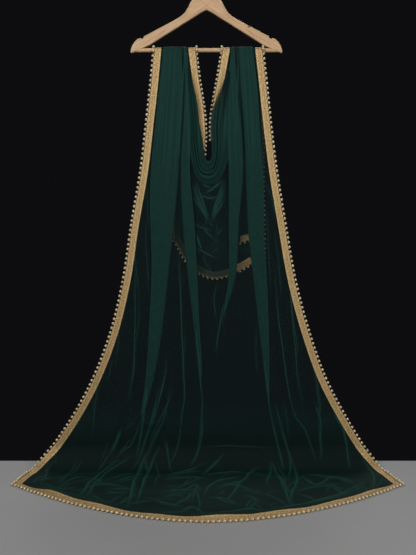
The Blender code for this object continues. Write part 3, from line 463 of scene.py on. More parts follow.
    (0.60, 2.6, 2.5, (522, 50, 537, 38, 548, 30)),
    (0.45, 2.6, 2.0, (506, 32, 546, 31)),
    (0.50, 2.6, 2.0, (552, 39, 570, 21)),
    (0.75, 3.0, 3.0, (543, -28, 567, -22, 590, -14)),
    (0.65, 2.6, 2.5, (584, -33, 590, -14, 605, 13, 617, 33)),
    (0.50, 2.6, 2.0, (580, 39, 596, 16)),
    (0.55, 2.6, 2.5, (507, 9, 518, 21)),
    (0.70, 4.5, 4.0, (1320, -115, 1299, -79, 1280, -42, 1276, -8)),
    (0.70, 4.5, 4.0, (1310, -8, 1296, 33, 1282, 78, 1288, 119)),
    (0.55, 4.5, 4.0, (1357, -113, 1341, -77, 1331, -33, 1341, 11)),
    (0.60, 4.5, 4.0, (1367, 25, 1341, 62, 1326, 99)),
    (0.60, 4.5, 4.0, (1441, -129, 1432, -88, 1441, -46, 1432, -4)),
    (0.55, 4.5, 4.0, (1470, -107, 1457, -73, 1465, -38)),
    (0.50, 4.5, 4.0, (1483, -120, 1476, -86, 1483, -58)),
    (0.70, 4.0, 3.6, (1511, -146, 1533, -124, 1546, -97, 1553, -63)),
    (0.60, 4.5, 4.0, (1432, -362, 1417, -336, 1402, -295, 1405, -252, 1427, -215)),
    (0.60, 4.0, 3.6, (1348, -368, 1341, -332, 1357, -301, 1382, -319)),
    (0.75, 4.5, 4.0, (1362, -264, 1331, -231, 1310, -197, 1299, -171)),
    (0.60, 4.5, 4.0, (1377, -248, 1348, -215, 1341, -179)),
    (0.50, 4.5, 4.0, (1456, -288, 1460, -253, 1457, -212)),
    (0.50, 4.5, 4.0, (1432, -277, 1441, -241, 1436, -193)),
    (0.60, 3.4, 3.1, (1474, -327, 1488, -298, 1528, -269)),
    (0.60, 3.4, 3.1, (1546, -240, 1506, -220, 1474, -203, 1470, -183)),
    (0.65, 4.5, 4.0, (1483, 10, 1492, 44, 1520, 71, 1537, 84)),
    (0.60, 4.5, 4.0, (1432, 31, 1407, 60, 1405, 88, 1422, 130)),
    (0.50, 4.5, 4.0, (1432, 95, 1446, 122, 1457, 149)),
    (0.70, 3.4, 3.1, (1397, 3, 1362, 32, 1341, 62)),
    (0.60, 4.5, 4.0, (1456, 253, 1432, 291, 1412, 350, 1417, 392)),
    (0.60, 3.2, 2.9, (1470, 259, 1483, 284, 1515, 297)),
    (0.80, 3.8, 3.4, (1315, 284, 1377, 298, 1402, 316, 1377, 348)),
    (0.70, 4.5, 4.0, (1326, 327, 1346, 360, 1352, 396, 1387, 425)),
    (0.60, 2.8, 2.5, (1377, 355, 1432, 375, 1492, 386)),
    (0.75, 3.6, 3.2, (1377, 460, 1417, 434, 1465, 384, 1511, 308, 1550, 236)),
    (0.80, 4.2, 3.8, (1597, 156, 1572, 194, 1546, 250, 1506, 329, 1470, 390)),
    (0.80, 4.2, 3.8, (1609, -3, 1605, 49, 1580, 95, 1572, 122, 1597, 153)),
    (0.80, 3.2, 2.9, (1588, -62, 1555, -36, 1588, -16, 1618, 0)),
    (0.65, 4.0, 3.6, (1607, -120, 1604, -87, 1595, -62, 1576, -49)),
    (0.65, 3.0, 2.7, (1483, 110, 1511, 139, 1555, 123, 1588, 108)),
    (0.60, 3.6, 3.2, (1456, 149, 1483, 175, 1511, 200, 1546, 216)),
    (0.60, 3.2, 2.9, (1417, -96, 1387, -61, 1336, -19, 1315, -4)),
    (0.75, 2.8, 2.5, (1502, -37, 1436, -32, 1367, -26)),
    (0.75, 2.8, 2.5, (1270, 200, 1336, 223, 1417, 226, 1483, 236)),
    (0.60, 4.0, 3.6, (1310, 288, 1313, 321, 1331, 362, 1336, 391)),
    (0.60, 4.0, 3.6, (1372, -494, 1352, -469, 1348, -433)),
    (0.60, 3.4, 3.1, (1387, -465, 1407, -436, 1427, -412, 1407, -373)),
    (0.60, 4.0, 3.6, (1520, -145, 1528, -178, 1537, -217)),
    (0.70, 2.2, 2.0, (10, -61, 90, -70, 170, -74, 240, -79, 310, -82)),
    (0.60, 2.2, 2.0, (10, -55, 120, -55, 230, -54, 310, -52)),
    (0.60, 2.2, 2.0, (8, 93, 80, 92, 170, 90, 250, 88)),
    (0.45, 2.0, 2.0, (8, -104, 90, -110, 200, -118, 330, -126)),
    (0.45, 2.0, 2.0, (8, 122, 100, 128, 220, 134, 340, 140)),
)
# creases of the end that hangs behind
BACK_CREASES = (
    (0.60, 2.4, 2.5, (360, -74, 420, -72, 500, -68, 560, -66)),
    (0.50, 2.4, 2.5, (360, -48, 430, -45, 520, -38, 600, -33)),
    (0.55, 2.4, 2.5, (360, 66, 430, 62, 520, 56, 610, 60)),
    (0.50, 2.4, 2.5, (360, 114, 420, 113, 520, 112, 590, 114)),
    (0.35, 2.2, 2.0, (370, -10, 440, -4, 540, 2, 640, 10)),
    (0.35, 2.2, 2.0, (370, 22, 460, 26, 560, 30, 630, 36)),
    (0.30, 2.0, 2.0, (400, 136, 470, 142, 560, 140)),
    (0.30, 2.0, 2.0, (390, -92, 460, -86, 530, -80)),
    (0.45, 2.2, 3.0, (560, -40, 580, 0, 575, 45, 590, 80)),
    (0.45, 2.2, 3.0, (610, 20, 600, 60, 585, 100, 560, 130)),
    (0.90, 5.0, 2.0, (573, 95, 585, 113, 598, 134)),
)
BACK_HEM = Table("across drop", (
    (-0.14, 0.520),
    (-0.094, 0.566),
    (-0.060, 0.624),
    (-0.026, 0.656),
    (0.017, 0.674),
    (0.060, 0.668),
    (0.105, 0.648),
    (0.140, 0.628),
    (0.20, 0.598),
))
# the back flap's corner, turned up so that its border shows
TURNED_CORNER = Table("share across drop", (
    (0.0, 0.102, 0.566),
    (0.4, 0.118, 0.562),
    (1.0, 0.146, 0.555),
))
# the cowl: stations from the left strand down round the slit and up the right strand
COWL = Table("station in_across in_drop out_across out_drop", (
    (0, -0.0525, 0.0450, -0.0545, 0.0353),
    (1, -0.0290, 0.1453, -0.0520, 0.1453),
    (2, -0.0205, 0.2123, -0.0500, 0.2238),
    (3, -0.0100, 0.2707, -0.0487, 0.2970),
    (4, -0.0035, 0.3140, -0.0290, 0.3740),
    (5, 0.0062, 0.3250, 0.0055, 0.3927),
    (6, 0.0150, 0.3160, 0.0400, 0.3780),
    (7, 0.0160, 0.2795, 0.0670, 0.3087),
    (8, 0.0130, 0.2123, 0.0727, 0.2268),
    (9, 0.0275, 0.1453, 0.0696, 0.1453),
    (10, 0.0640, 0.0582, 0.0680, 0.0640),
))
COWL_RISE = 0.0155
COWL_PITCH = 0.0015
COWL_LEAST_FOLD = 0.004
COWL_FOLDS = ((0.30, 0.17), (0.58, 0.44), (0.84, 0.71))

COWL_WAVE = 0.0055
COWL_STATIONS = 10
COWL_SINK = 0.004
COWL_ROWS = 240
COWL_LEAST_RISE = 0.004

# ribbon, thread and beads, whose sizes are shares of a full bead
THREAD_LOOP = 0.0016
THREAD_RADIUS = 0.0004
BEAD_GAP = 0.0002
BEAD_SPREAD = 0.06
NECK_BEADS = 0.86
CORNER_BEADS = 0.85
BACK_HEM_BEADS = 0.55
BACK_HEM_GROWN = 0.4
BEADS_BEHIND = 0.5
LACE_THICKNESS = 0.0011
LACE_TOOTH = 0.0030
LACE_CURL = 0.0012
LACE_COLUMNS = (0.0, 0.04, 0.2, 0.4, 0.6, 0.8, 0.96, 1.0)
NECK_RIBBON_DROP = {"left": 0.305, "right": 0.262}
NECK_CLOSER = 0.88
GOLD_TURNS_OUT = (0.69, 0.90)
GOLD_TURN_FADE = 0.02
FRONT_BACKING = 0.72

# fine gathers under the bar, and the wide waves below them
GATHER_HEIGHT = 0.0022
GATHER_COUNT = 26
GATHER_FROM = 0.10
GATHER_FADE = 0.42
SWELL_FROM = 0.40
SWELL_FADE = 0.25
SWELL_HEIGHTS = (0.0016, 0.0008)

# creases: how often their corners are cut, how far they reach in half widths, the share of each end
# that tapers, and how faint it gets
CORNER_CUTS = 2
CREASE_REACH = 3
CREASE_TAPER = 0.3
CREASE_FAINTEST = 0.25

# how far from an edge the waves and the creases fade out, and from the foot how the net settles
WAVE_EDGE = 0.03
CREASE_EDGE = 0.02
SETTLE_OVER = 0.12
LYING_RISE = 0.0012
HEM_LIFT_OVER = 0.05

# cover of the net: what creases, close gathers and hidden layers add, and where it lies on the floor
CREASE_GATHER = 1.4
CLOSE_GATHER = 0.3
HIDDEN_GATHER = 0.78
MOST_GATHER = 1.2
TRAIN_COVER = 0.82
TRAIN_COVER_OVER = 0.15
STRAND_COVER = 0.16
BAR_COVER = 0.5
COWL_COVER = 0.55
# the net's colour times this where it is veiled, most where it lies on the floor: a painted shade
LYING_PAINTED_SHADE = 0.30

TURN = math.pi * BAR_TO_CLOTH
STRAND_PLEATS = {"left": ("left_outer", "left_inner"), "right": ("right_inner", "right_outer")}


def drop_of(way):
    """How far below the bar a place is, where way runs up the front to 0, over the bar and down behind."""
    return np.where(way < 0, -way, np.maximum(way - TURN, 0.0))


def spot(across, way, rise):
    """Points in space for places on the cloth, as arrays of one shape."""
    across, way, rise = np.broadcast_arrays(across, way, rise)
    drop = drop_of(way)
    y = -BAR_TO_CLOTH - LEAN * drop
    z = BAR_Z - drop
    out_y = np.full(drop.shape, -1.0)
    out_z = np.zeros(drop.shape)
    turn = np.clip((drop - FOOT_DROP) / FOOT_RADIUS, 0, math.pi / 2)
    foot = (way < 0) & (drop > FOOT_DROP)
    y = np.where(foot, FOOT_END_Y + FOOT_RADIUS * np.cos(turn), y)
    y = y - np.where(foot, np.maximum(drop - FOOT_DROP - FOOT_LENGTH, 0), 0)
    z = np.where(foot, BAR_Z - FOOT_DROP - FOOT_RADIUS * np.sin(turn), z)
    out_y = np.where(foot, -np.cos(turn), out_y)
    out_z = np.where(foot, np.sin(turn), out_z)
    behind = way > TURN
    y = np.where(behind, BAR_TO_CLOTH + LEAN * drop, y)
    out_y = np.where(behind, 1.0, out_y)
    over = (way >= 0) & ~behind
    angle = np.clip(way / BAR_TO_CLOTH, 0, math.pi)
    y = np.where(over, -BAR_TO_CLOTH * np.cos(angle), y)
    z = np.where(over, BAR_Z + BAR_TO_CLOTH * np.sin(angle), z)
    out_y = np.where(over, -np.cos(angle), out_y)
    out_z = np.where(over, np.sin(angle), out_z)
    return np.stack([across, y + out_y * rise, z + out_z * rise], axis=-1)


def hem_drop(across):
    y = HEM_FRONT_Y + HEM_SWEEP * (np.abs(across - HEM_MIDDLE_X) / HEM_HALF_WIDTH) ** HEM_POWER
    return FOOT_DROP + FOOT_LENGTH + FOOT_END_Y - y


def back_hem_drop(across):
    return BACK_HEM.at("drop", across)


def inward(function, value, width):
    """How far along the other axis a border of this width reaches in from its outer edge."""
    step = 0.002
    slope = (function(value + step) - function(value - step)) / (2 * step)
    return width * np.sqrt(1 + slope * slope)


def side_edge(edges, side, drop, width):
    outer = edges.at(side, drop)
    reach = inward(lambda v: edges.at(side, v), drop, width)
    return outer + reach if side == "left" else outer - reach


def outer_edge(side, way, width):
    """Across of a line this far in from the cloth's outer edge, in front and behind."""
    drop = drop_of(way)
    return np.where(way > TURN, side_edge(BACK, side, drop, width), side_edge(FRONT, side, drop, width))


def neck_edge(side, way, width):
    """Across of a line this far in from the slit's edge, in front and behind."""
    drop = drop_of(way)
    reaches = []
    for edges in (NECK, BACK_NECK):
        reach = inward(lambda v: edges.at(side, v), drop, width)
        reaches.append(edges.at(side, drop) - reach if side == "left" else edges.at(side, drop) + reach)
    return np.where(way > TURN, reaches[1], reaches[0])


def hem_edge(hem, across, width):
    """The drop of a line this far in from a hem's outer edge."""
    return hem(across) - inward(hem, across, width)


def settle(guess, target):
    """The drops that a rule for them gives back unchanged."""
    for _ in range(SETTLE_ROUNDS):
        guess = guess + SETTLE_SHARE * (target(guess) - guess)
    return guess


def between(edges, share, drop, width):
    """Across of a share of the width from the left border to the right one."""
    left = side_edge(edges, "left", drop, width)
    return left + (side_edge(edges, "right", drop, width) - left) * share


def panel_end(edges, hem, guess, share, width):
    """The drop where a share of the panel's width meets the line this far in from the hem's outer edge."""
    share = np.asarray(share, dtype=float)
    guesses = np.full(share.shape, guess)
    return settle(guesses, lambda drop: hem_edge(hem, between(edges, share, drop, width), width))


def train_end(share, width):
    return panel_end(FRONT, hem_drop, 1.45, share, width)


def flap_end(share, width):
    return panel_end(BACK, back_hem_drop, 0.6, share, width)


def layer_pitch(drop):
    """The distance from one layer of a pleat to the next."""
    return PITCH_ON_BAR + (PITCH_HANGING - PITCH_ON_BAR) * ease(drop / PITCH_GROWS_OVER)


def pleat_rows(names, way, first, last, step):
    """Across, level and doubling of each point of each crosswise row, from edge to edge.

    The pleats face each other in pairs: the net turns back under its top at the first one's near edge and
    again at the second one's far edge. Doubling is 1 on the hidden layer and at the turns.
    """
    drop = drop_of(way)
    behind = way > TURN
    columns = [(first, np.zeros_like(first), np.zeros_like(first))]
    overlaps = []

    def run(end, end_level, doubled):
        start, start_level = columns[-1][:2]
        count = max(2, int(np.ceil(np.max(np.abs(end - start)) / step)))
        for t in np.linspace(0, 1, count + 1)[1:-1]:
            columns.append((start + (end - start) * t, start_level + (end_level - start_level) * t, doubled))

    for index, name in enumerate(names):
        near, far = (
            np.where(behind, BACK_PLEATS[name].at(side, drop), FRONT_PLEATS[name].at(side, drop))
            for side in ("near", "far")
        )
        folded = ease((far - near - FLAT_AT) / (UNFOLDS_AT - FLAT_AT))
        overlap = ease((far - near) / OVERLAP_FADE)
        overlaps.append((near, far, overlap))
        pitch = layer_pitch(drop) * folded
        spread = FLAT_SPREAD * (1 - folded) + LEAST_SPREAD
        falling = index % 2 == 1
        levels = (2 * pitch, pitch, 0 * pitch) if falling else (0 * pitch, pitch, 2 * pitch)
        for edge, side, start, end in ((far, 1, levels[0], levels[1]), (near, -1, levels[1], levels[2])):
            turns = []
            for angle in np.linspace(-math.pi / 2, math.pi / 2, TURN_STEPS):
                bulge = side * math.cos(angle) * pitch / 2
                level = (start + end) / 2 + (end - start) / 2 * math.sin(angle)
                turns.append((edge + bulge + spread * angle * 2 / math.pi, level, overlap))
            run(turns[0][0], turns[0][1], overlap if side < 0 else 0 * overlap)
            columns += turns
    run(last, np.zeros_like(last), np.zeros_like(last))
    columns.append((last, np.zeros_like(last), np.zeros_like(last)))
    across, level, doubled = (np.stack(part, axis=1) for part in zip(*columns))
    for near, far, overlap in overlaps:
        past_near = ease((across - near[:, None]) / PLEAT_EDGE + 0.5)
        before_far = ease((far[:, None] - across) / PLEAT_EDGE + 0.5)
        doubled = np.maximum(doubled, HIDDEN_SHARE * (past_near * before_far) * overlap[:, None])
    return across, level, doubled


def gathers(across, way):
    """The fine upright gathers of the net under the bar: their rise, and how closely they lie, highest on
    each crest, which paints the crests lighter, a painted sheen.
    """
    drop = drop_of(way)
    left, right = outer_edge("left", way, 0.0), outer_edge("right", way, 0.0)
    share = (across - left) / (right - left)
    depth = 1 - ease((drop - GATHER_FROM) / GATHER_FADE)
    phase = share * GATHER_COUNT + 0.3 * np.sin(share * 41 + 1.0) + 0.1 * np.sin(share * 97 + drop * 9)
    crest = 0.5 + 0.5 * np.sin(2 * math.pi * phase)
    room = 0.35 + 0.65 * ease(drop / 0.08)
    return GATHER_HEIGHT * depth * crest * room, depth * crest ** 3


def swells(across, drop):
    """Wide, low waves of the net where it hangs free."""
    lower = ease((drop - SWELL_FROM) / SWELL_FADE)
    one = np.sin(across * 61 + 2.2 * np.sin(drop * 5.1) + 0.7)
    two = np.sin(across * 113 - 1.7 * np.sin(drop * 7.3 + 1.1) + 2.0)
    return lower * (SWELL_HEIGHTS[0] * one + SWELL_HEIGHTS[1] * two)


def ridges(across, drop):
    """The rise of the soft ridges that stand between the pleats."""
    rise = np.zeros(np.broadcast(across, drop).shape)
    for start, end, height, line in RIDGES:
        peak = Table("drop across", line).at("across", drop)
        tall = height * ease((drop - start) / RIDGE_FADE) * ease((end - drop) / RIDGE_FADE)
        rise = np.maximum(rise, tall * np.exp(-((across - peak) / RIDGE_HALF_WIDTH) ** 2))
    return rise


def crumples(across, drop):
    """The rise of the train's crumples."""
    y = spot(across, -drop, 0.0)[..., 1]
    free = ease((drop - FOOT_DROP - FOOT_LENGTH * 0.8) / 0.05)
    rise = np.zeros(across.shape)
    for middle, middle_y, long, wide, heading, height in CRUMPLES:
        angle = math.radians(heading)
        along = (across - middle) * math.cos(angle) + (y - middle_y) * math.sin(angle)
        aside = -(across - middle) * math.sin(angle) + (y - middle_y) * math.cos(angle)
        rise = np.maximum(rise, height * np.exp(-((along / long) ** 2) - (aside / wide) ** 2))
    return rise * free


def rounded(line):
    """A line with its corners cut, so that it bends softly."""
    for _ in range(CORNER_CUTS):
        cut = [line[:1]]
        for a, b in zip(line, line[1:]):
            cut.append(np.array([a * 0.75 + b * 0.25, a * 0.25 + b * 0.75]))
        line = np.concatenate([*cut, line[-1:]])
    return line


def creases(table, across, drop):
    """Rise and gather of the creases pinched into the net, at each point."""
    across, drop = np.broadcast_arrays(across, drop)
    rise = np.zeros(across.shape)
    gather = np.zeros(across.shape)
    for strength, half_width, height, numbers in table:
        line = rounded(np.array(numbers, dtype=float).reshape(-1, 2) / 1000)
        width = half_width / 1000
        reach = width * CREASE_REACH
        (low_drop, low_across), (high_drop, high_across) = line.min(0) - reach, line.max(0) + reach
        near = (drop > low_drop) & (drop < high_drop) & (across > low_across) & (across < high_across)
        if not near.any():
            continue
        spots = np.stack([drop[near], across[near]], axis=-1)
        lengths = np.concatenate([[0], np.cumsum(np.linalg.norm(np.diff(line, axis=0), axis=1))])
        best = np.full(len(spots), 1.0)
        along = np.zeros(len(spots))
        for a, b, length, more in zip(line, line[1:], lengths, np.diff(lengths)):
            t = np.clip(((spots - a) @ (b - a)) / max(more * more, 1e-9), 0, 1)
            apart = np.linalg.norm(spots - a - t[:, None] * (b - a), axis=1)
            closer = apart < best
            best = np.where(closer, apart, best)
            along = np.where(closer, length + t * more, along)
        end = CREASE_TAPER * lengths[-1]
        taper = ease(along / end) * ease((lengths[-1] - along) / end)
        core = np.exp(-((best / width) ** 2)) * (CREASE_FAINTEST + (1 - CREASE_FAINTEST) * taper)
        rise[near] = np.maximum(rise[near], core * taper * height / 1000)
        gather[near] = np.maximum(gather[near], core * strength)
    return rise, gather


def hem_lift(across):
    """How high the front hem's border stands up along its inner edge."""
    corner = ease((HEM_HALF_WIDTH - 0.03 - np.abs(across - HEM_MIDDLE_X)) / 0.10)
    return corner * (0.0075 + 0.0030 * np.sin(across * 13 + 0.6) + 0.0014 * np.sin(across * 41))


def net_gather(crease, close, doubled):
    """How closely the net is gathered, from its creases, its fine gathers and its hidden layers. It thickens
    the cover and paints the net lighter, a painted sheen.
    """
    return np.clip(CREASE_GATHER * crease + CLOSE_GATHER * close + HIDDEN_GATHER * doubled, 0, MOST_GATHER)


def front_form(across, way, level, doubled, hanging):
    """Rise, gather and cover of the front, with every wave fading out before the borders."""
    drop = drop_of(way)
    from_left = across - side_edge(FRONT, "left", drop, BORDER_WIDTH)
    from_right = side_edge(FRONT, "right", drop, BORDER_WIDTH) - across
    room = np.minimum(from_left, from_right)
    pinch, gather = creases(CREASES, across, drop)
    fine, close = gathers(across, way)
    rise = level + (fine + swells(across, drop) + ridges(across, drop) * hanging) * ease(room / WAVE_EDGE)
    if not hanging:
        hem_room = hem_edge(hem_drop, across, BORDER_WIDTH) - drop
        room = np.minimum(room, hem_room)
        lying = ease((drop - FOOT_DROP) / SETTLE_OVER)
        rise = rise * (1 - lying) + crumples(across, drop) * ease(room / CRUMPLE_FREE_EDGE)
        rise = rise + lying * LYING_RISE + hem_lift(across) * (1 - ease(hem_room / HEM_LIFT_OVER))
    rise = rise + pinch * ease(room / CREASE_EDGE)
    # the veil thickens the cover and also paints the net darker, a painted shade, strongest where it lies
    lain = TRAIN_COVER * ease((drop - FOOT_DROP + TRAIN_COVER_OVER) / TRAIN_COVER_OVER)
    return rise, net_gather(gather, close, doubled), lain


def add_object(name, data):
    made = bpy.data.objects.new(name, data)
    bpy.context.collection.objects.link(made)
    return made


def store(mesh, name, values, kind="FLOAT", key="value"):
    """Keep a value on the mesh for each of its points."""
    mesh.attributes.new(name, kind, "POINT").data.foreach_set(key, values.astype(np.float32).ravel())


def net_piece(name, points, gather, veil, outward):
    """A single sheet of net through a grid of points, with its gather, its cover and its lie on the mesh."""
    rows, columns = points.shape[:2]
    grid = np.arange(rows * columns).reshape(rows, columns)
    a, b, c, d = grid[:-1, :-1], grid[:-1, 1:], grid[1:, 1:], grid[1:, :-1]
    corners = (a, d, c, b) if outward else (a, b, c, d)
    faces = np.stack([corner.ravel() for corner in corners], axis=1)
    mesh = bpy.data.meshes.new(name)
    mesh.from_pydata(points.reshape(-1, 3).tolist(), [], faces.tolist())
    store(mesh, "gather", gather)
    store(mesh, "veil", np.broadcast_to(veil, gather.shape))
    lie = mesh.uv_layers.new(name="cloth")
    lie.data.foreach_set("uv", flow_of(points).reshape(-1, 2)[faces.ravel()].astype(np.float32).ravel())
    mesh.materials.append(finish(bpy.context.scene.stole_look, "fine net"))
    mesh.shade_smooth()
    return add_object(name, mesh)


def flow_of(points):
    """A place on the flat cloth for each point: the length along its row, and down its column."""
    across = np.linalg.norm(np.diff(points, axis=1, prepend=points[:, :1]), axis=2).cumsum(axis=1)
    down = np.linalg.norm(np.diff(points, axis=0, prepend=points[:1]), axis=2).cumsum(axis=0)
    return np.stack([across, down], axis=-1)


def flat_size(points):
    """The width and length of a sheet's flat cut: its longest row and its longest column."""
    flow = flow_of(points)
    return round(float(flow[..., 0].max()), 3), round(float(flow[..., 1].max()), 3)


def place_piece(made, nodes):
    """Hang a piece on the root body, and hide the solids it stands for."""
    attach(made, "root")
    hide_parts(*nodes)


def make_strand(side):
    """The net from the slit's foot in front, up over the bar and down to the slit's foot behind."""
    hanging = np.arange(0, SLIT_DROP, 0.005)
    way = np.concatenate([-SLIT_DROP + hanging, np.linspace(0, TURN, 9), TURN + SLIT_DROP - hanging[::-1]])
    outer = outer_edge(side, way, BORDER_WIDTH)
    neck = neck_edge(side, way, BORDER_WIDTH)
    first, last = (outer, neck) if side == "left" else (neck, outer)
    across, level, doubled = pleat_rows(STRAND_PLEATS[side], way, first, last, STRAND_STEP)
    way = np.repeat(way[:, None], across.shape[1], axis=1)
    fine, close = gathers(across, way)
    pinch, gather = creases(CREASES, across, np.where(way > 0, -1.0, drop_of(way)))
    room = np.minimum(across - first[:, None], last[:, None] - across)
    points = spot(across, way, level + fine * ease(room / WAVE_EDGE) + pinch * ease(room / CREASE_EDGE))
    over_bar = 1 - ease((drop_of(way) - 0.004) / 0.03)
    upper = 1 - ease((drop_of(way) - 0.08) / 0.24)
    # the veil over the bar also paints the net darker there: a painted shade
    return points, net_gather(gather, close, doubled), STRAND_COVER * upper + BAR_COVER * over_bar


def make_fall():
    """The front from the slit's foot down to where it turns onto the floor."""
    drop = np.linspace(SLIT_DROP, FOOT_DROP, int((FOOT_DROP - SLIT_DROP) / DOWN_STEP))
    way = -drop
    first, last = outer_edge("left", way, BORDER_WIDTH), outer_edge("right", way, BORDER_WIDTH)
    across, level, doubled = pleat_rows(list(FRONT_PLEATS), way, first, last, ACROSS_STEP)
    way = np.repeat(way[:, None], across.shape[1], axis=1)
    rise, gather, veil = front_form(across, way, level, doubled, True)
    return spot(across, way, rise), gather, veil


def make_train():
    """The front end, from its turn onto the floor to the hem."""
    share = np.linspace(0, 1, int(TRAIN_WIDTH / TRAIN_STEP))
    ends = train_end(share, BORDER_WIDTH)
    along = np.linspace(0, 1, int(TRAIN_LENGTH / TRAIN_STEP))[:, None]
    drop = FOOT_DROP + (ends - FOOT_DROP) * along
    across = between(FRONT, share, drop, BORDER_WIDTH)
    rise, gather, veil = front_form(across, -drop, 0.0, 0.0, False)
    return spot(across, -drop, rise), gather, veil


def make_flap():
    """The short end behind, from the slit's foot to its hem, with a step over each pleat."""
    share = np.linspace(0, 1, FLAP_COLUMNS)
    ends = flap_end(share, BORDER_WIDTH)
    along = np.linspace(0, 1, FLAP_ROWS)[:, None]
    drop = SLIT_DROP + (ends - SLIT_DROP) * along
    across = between(BACK, share, drop, BORDER_WIDTH)
    stack = np.zeros(across.shape)
    for low, high in (("left_outer", "left_inner"), ("right_inner", "right_outer")):
        near, far = (BACK_PLEATS[low].at(side, drop) for side in ("near", "far"))
        folded = ease((far - near - FLAT_AT) / (UNFOLDS_AT - FLAT_AT))
        start = (near + far) / 2
        end = (BACK_PLEATS[high].at("near", drop) + BACK_PLEATS[high].at("far", drop)) / 2
        inside = ease((across - start) / 0.004 + 0.5) - ease((across - end) / 0.004 + 0.5)
        stack += 2 * layer_pitch(drop) * folded * inside
    pinch, gather = creases(BACK_CREASES, across, drop)
    fine, close = gathers(across, TURN + drop)
    room = np.minimum(np.minimum(across - across[:, :1], across[:, -1:] - across), ends - drop)
    rise = stack + (fine + pinch + swells(across, drop)) * ease(room / CREASE_EDGE)
    return spot(across, TURN + drop, rise), np.clip(gather + CLOSE_GATHER * close, 0, 1), 0.0


def swag(share, station):
    """The wave of the cowl's folds across its depth, sharper at the crests."""
    phase = share * 4.1 + 0.3 * np.sin(share * 8 + station * 0.5) + 0.25 * np.sin(station * 1.1)
    return (0.5 + 0.5 * np.cos(2 * math.pi * phase)) ** 1.3


def make_cowl():
    """Swags that hang each over the next, from the edge of the slit outwards."""
    station = np.linspace(0, COWL_STATIONS, COWL_ROWS)
    inner = np.stack([COWL.at("in_across", station), COWL.at("in_drop", station)], axis=1)
    outer = np.stack([COWL.at("out_across", station), COWL.at("out_drop", station)], axis=1)
    depth = np.linalg.norm(outer - inner, axis=1)
    heading = (outer - inner) / depth[:, None]
    still = np.zeros_like(depth)
    columns = [(still, still + COWL_RISE)]

    def run(end, level, steps):
        start, start_level = columns[-1]
        for t in np.linspace(0, 1, steps + 1)[1:]:
            columns.append((start + (end - start) * t, start_level + (level - start_level) * t))

    level = still + COWL_RISE
    for under, back in COWL_FOLDS:
        low = under * depth
        high = np.minimum(back * depth, low - COWL_LEAST_FOLD)
        for edge, side in ((low, 1), (high, -1)):
            run(edge, level, 16)
            for angle in np.linspace(-math.pi / 2, math.pi / 2, TURN_STEPS)[1:]:
                bulge = side * math.cos(angle) * COWL_PITCH / 2
                columns.append((edge + bulge, level - COWL_PITCH * (0.5 + 0.5 * math.sin(angle))))
            level = level - COWL_PITCH
    run(depth, level, 18)
    along, rise = (np.stack(part, axis=1) for part in zip(*columns))
    share = along / depth[:, None]
    station = station[:, None]
    hanging = np.sin(station * math.pi / COWL_STATIONS) ** 0.7
    crest = swag(share, station)
    rise = rise + (crest - 0.5) * COWL_WAVE * hanging * ease(share / 0.06)
    rise = np.maximum(rise - COWL_SINK * ease((share - 0.55) / 0.45) * hanging, COWL_LEAST_RISE)
    place = inner[:, None, :] + heading[:, None, :] * along[..., None]
    points = spot(place[..., 0], -place[..., 1], rise)
    started = ease(station / 0.8) * ease((COWL_STATIONS - station) / 2)
    lower = 1 - 0.6 * ease((share - 0.8) / 0.2)
    # gather follows each swag's crest, which paints the crests lighter, a painted highlight; the veil paints
    # the cowl darker, a painted shade
    return points, started * lower * (0.30 + 0.60 * crest), COWL_COVER * started * lower


def side_line(side, width):
    """Across and way of a line beside an outer border, from its front corner over the bar to its back one."""
    share = 0.0 if side == "left" else 1.0
    front_end, back_end = float(train_end(share, width)), float(flap_end(share, width))
    way = np.concatenate([
        -np.linspace(front_end, FOOT_DROP, LYING_STEPS)[:-1],
        -np.linspace(FOOT_DROP, 0, HANGING_STEPS)[:-1],
        np.linspace(0, TURN, BAR_STEPS)[:-1],
        TURN + np.linspace(0, back_end, BEHIND_STEPS),
    ])
    return outer_edge(side, way, width), way


def neck_line(side, width):
    """The same beside the slit, from its foot behind over the bar to where the ribbon ends in the cowl."""
    way = np.concatenate([
        TURN + np.linspace(SLIT_DROP, 0, NECK_BEHIND_STEPS)[:-1],
        np.linspace(TURN, 0, BAR_STEPS)[:-1],
        -np.linspace(0, NECK_RIBBON_DROP[side], NECK_FRONT_STEPS),
    ])
    return neck_edge(side, way, width), way


def front_hem_line(_, width):
    share = np.linspace(0, 1, FRONT_HEM_STEPS)
    across = between(FRONT, share, train_end(share, width), width)
    return across, -hem_edge(hem_drop, across, width)


def back_hem_line(_, width):
    share = np.linspace(0, 1, BACK_HEM_STEPS)
    across = between(BACK, share, flap_end(share, width), width)
    return across, TURN + hem_edge(back_hem_drop, across, width)


def corner_line(_, width):
    """The border of the back flap's corner, turned up behind the front."""
    share = np.linspace(0, 1, CORNER_STEPS)
    return TURNED_CORNER.at("across", share), TURN + TURNED_CORNER.at("drop", share) - width


# each border's line, its side, and which way round its band's faces wind
BORDERS = {
    "left": (side_line, "left", 1),
    "right": (side_line, "right", -1),
    "neck_left": (neck_line, "left", 1),
    "neck_right": (neck_line, "right", -1),
    "front_hem": (front_hem_line, "", -1),
    "back_hem": (back_hem_line, "", 1),
    "corner": (corner_line, "", 1),
}


def run_length(points):
    """The length along a line of points, up to each of them."""
    return np.concatenate([[0], np.cumsum(np.linalg.norm(np.diff(points, axis=0), axis=1))])


def gold_out(share):
    """1 along the stretch of the back hem that shows its right side to the front."""
    start, end = GOLD_TURNS_OUT
    return ease((share - start) / GOLD_TURN_FADE) * ease((end - share) / GOLD_TURN_FADE)


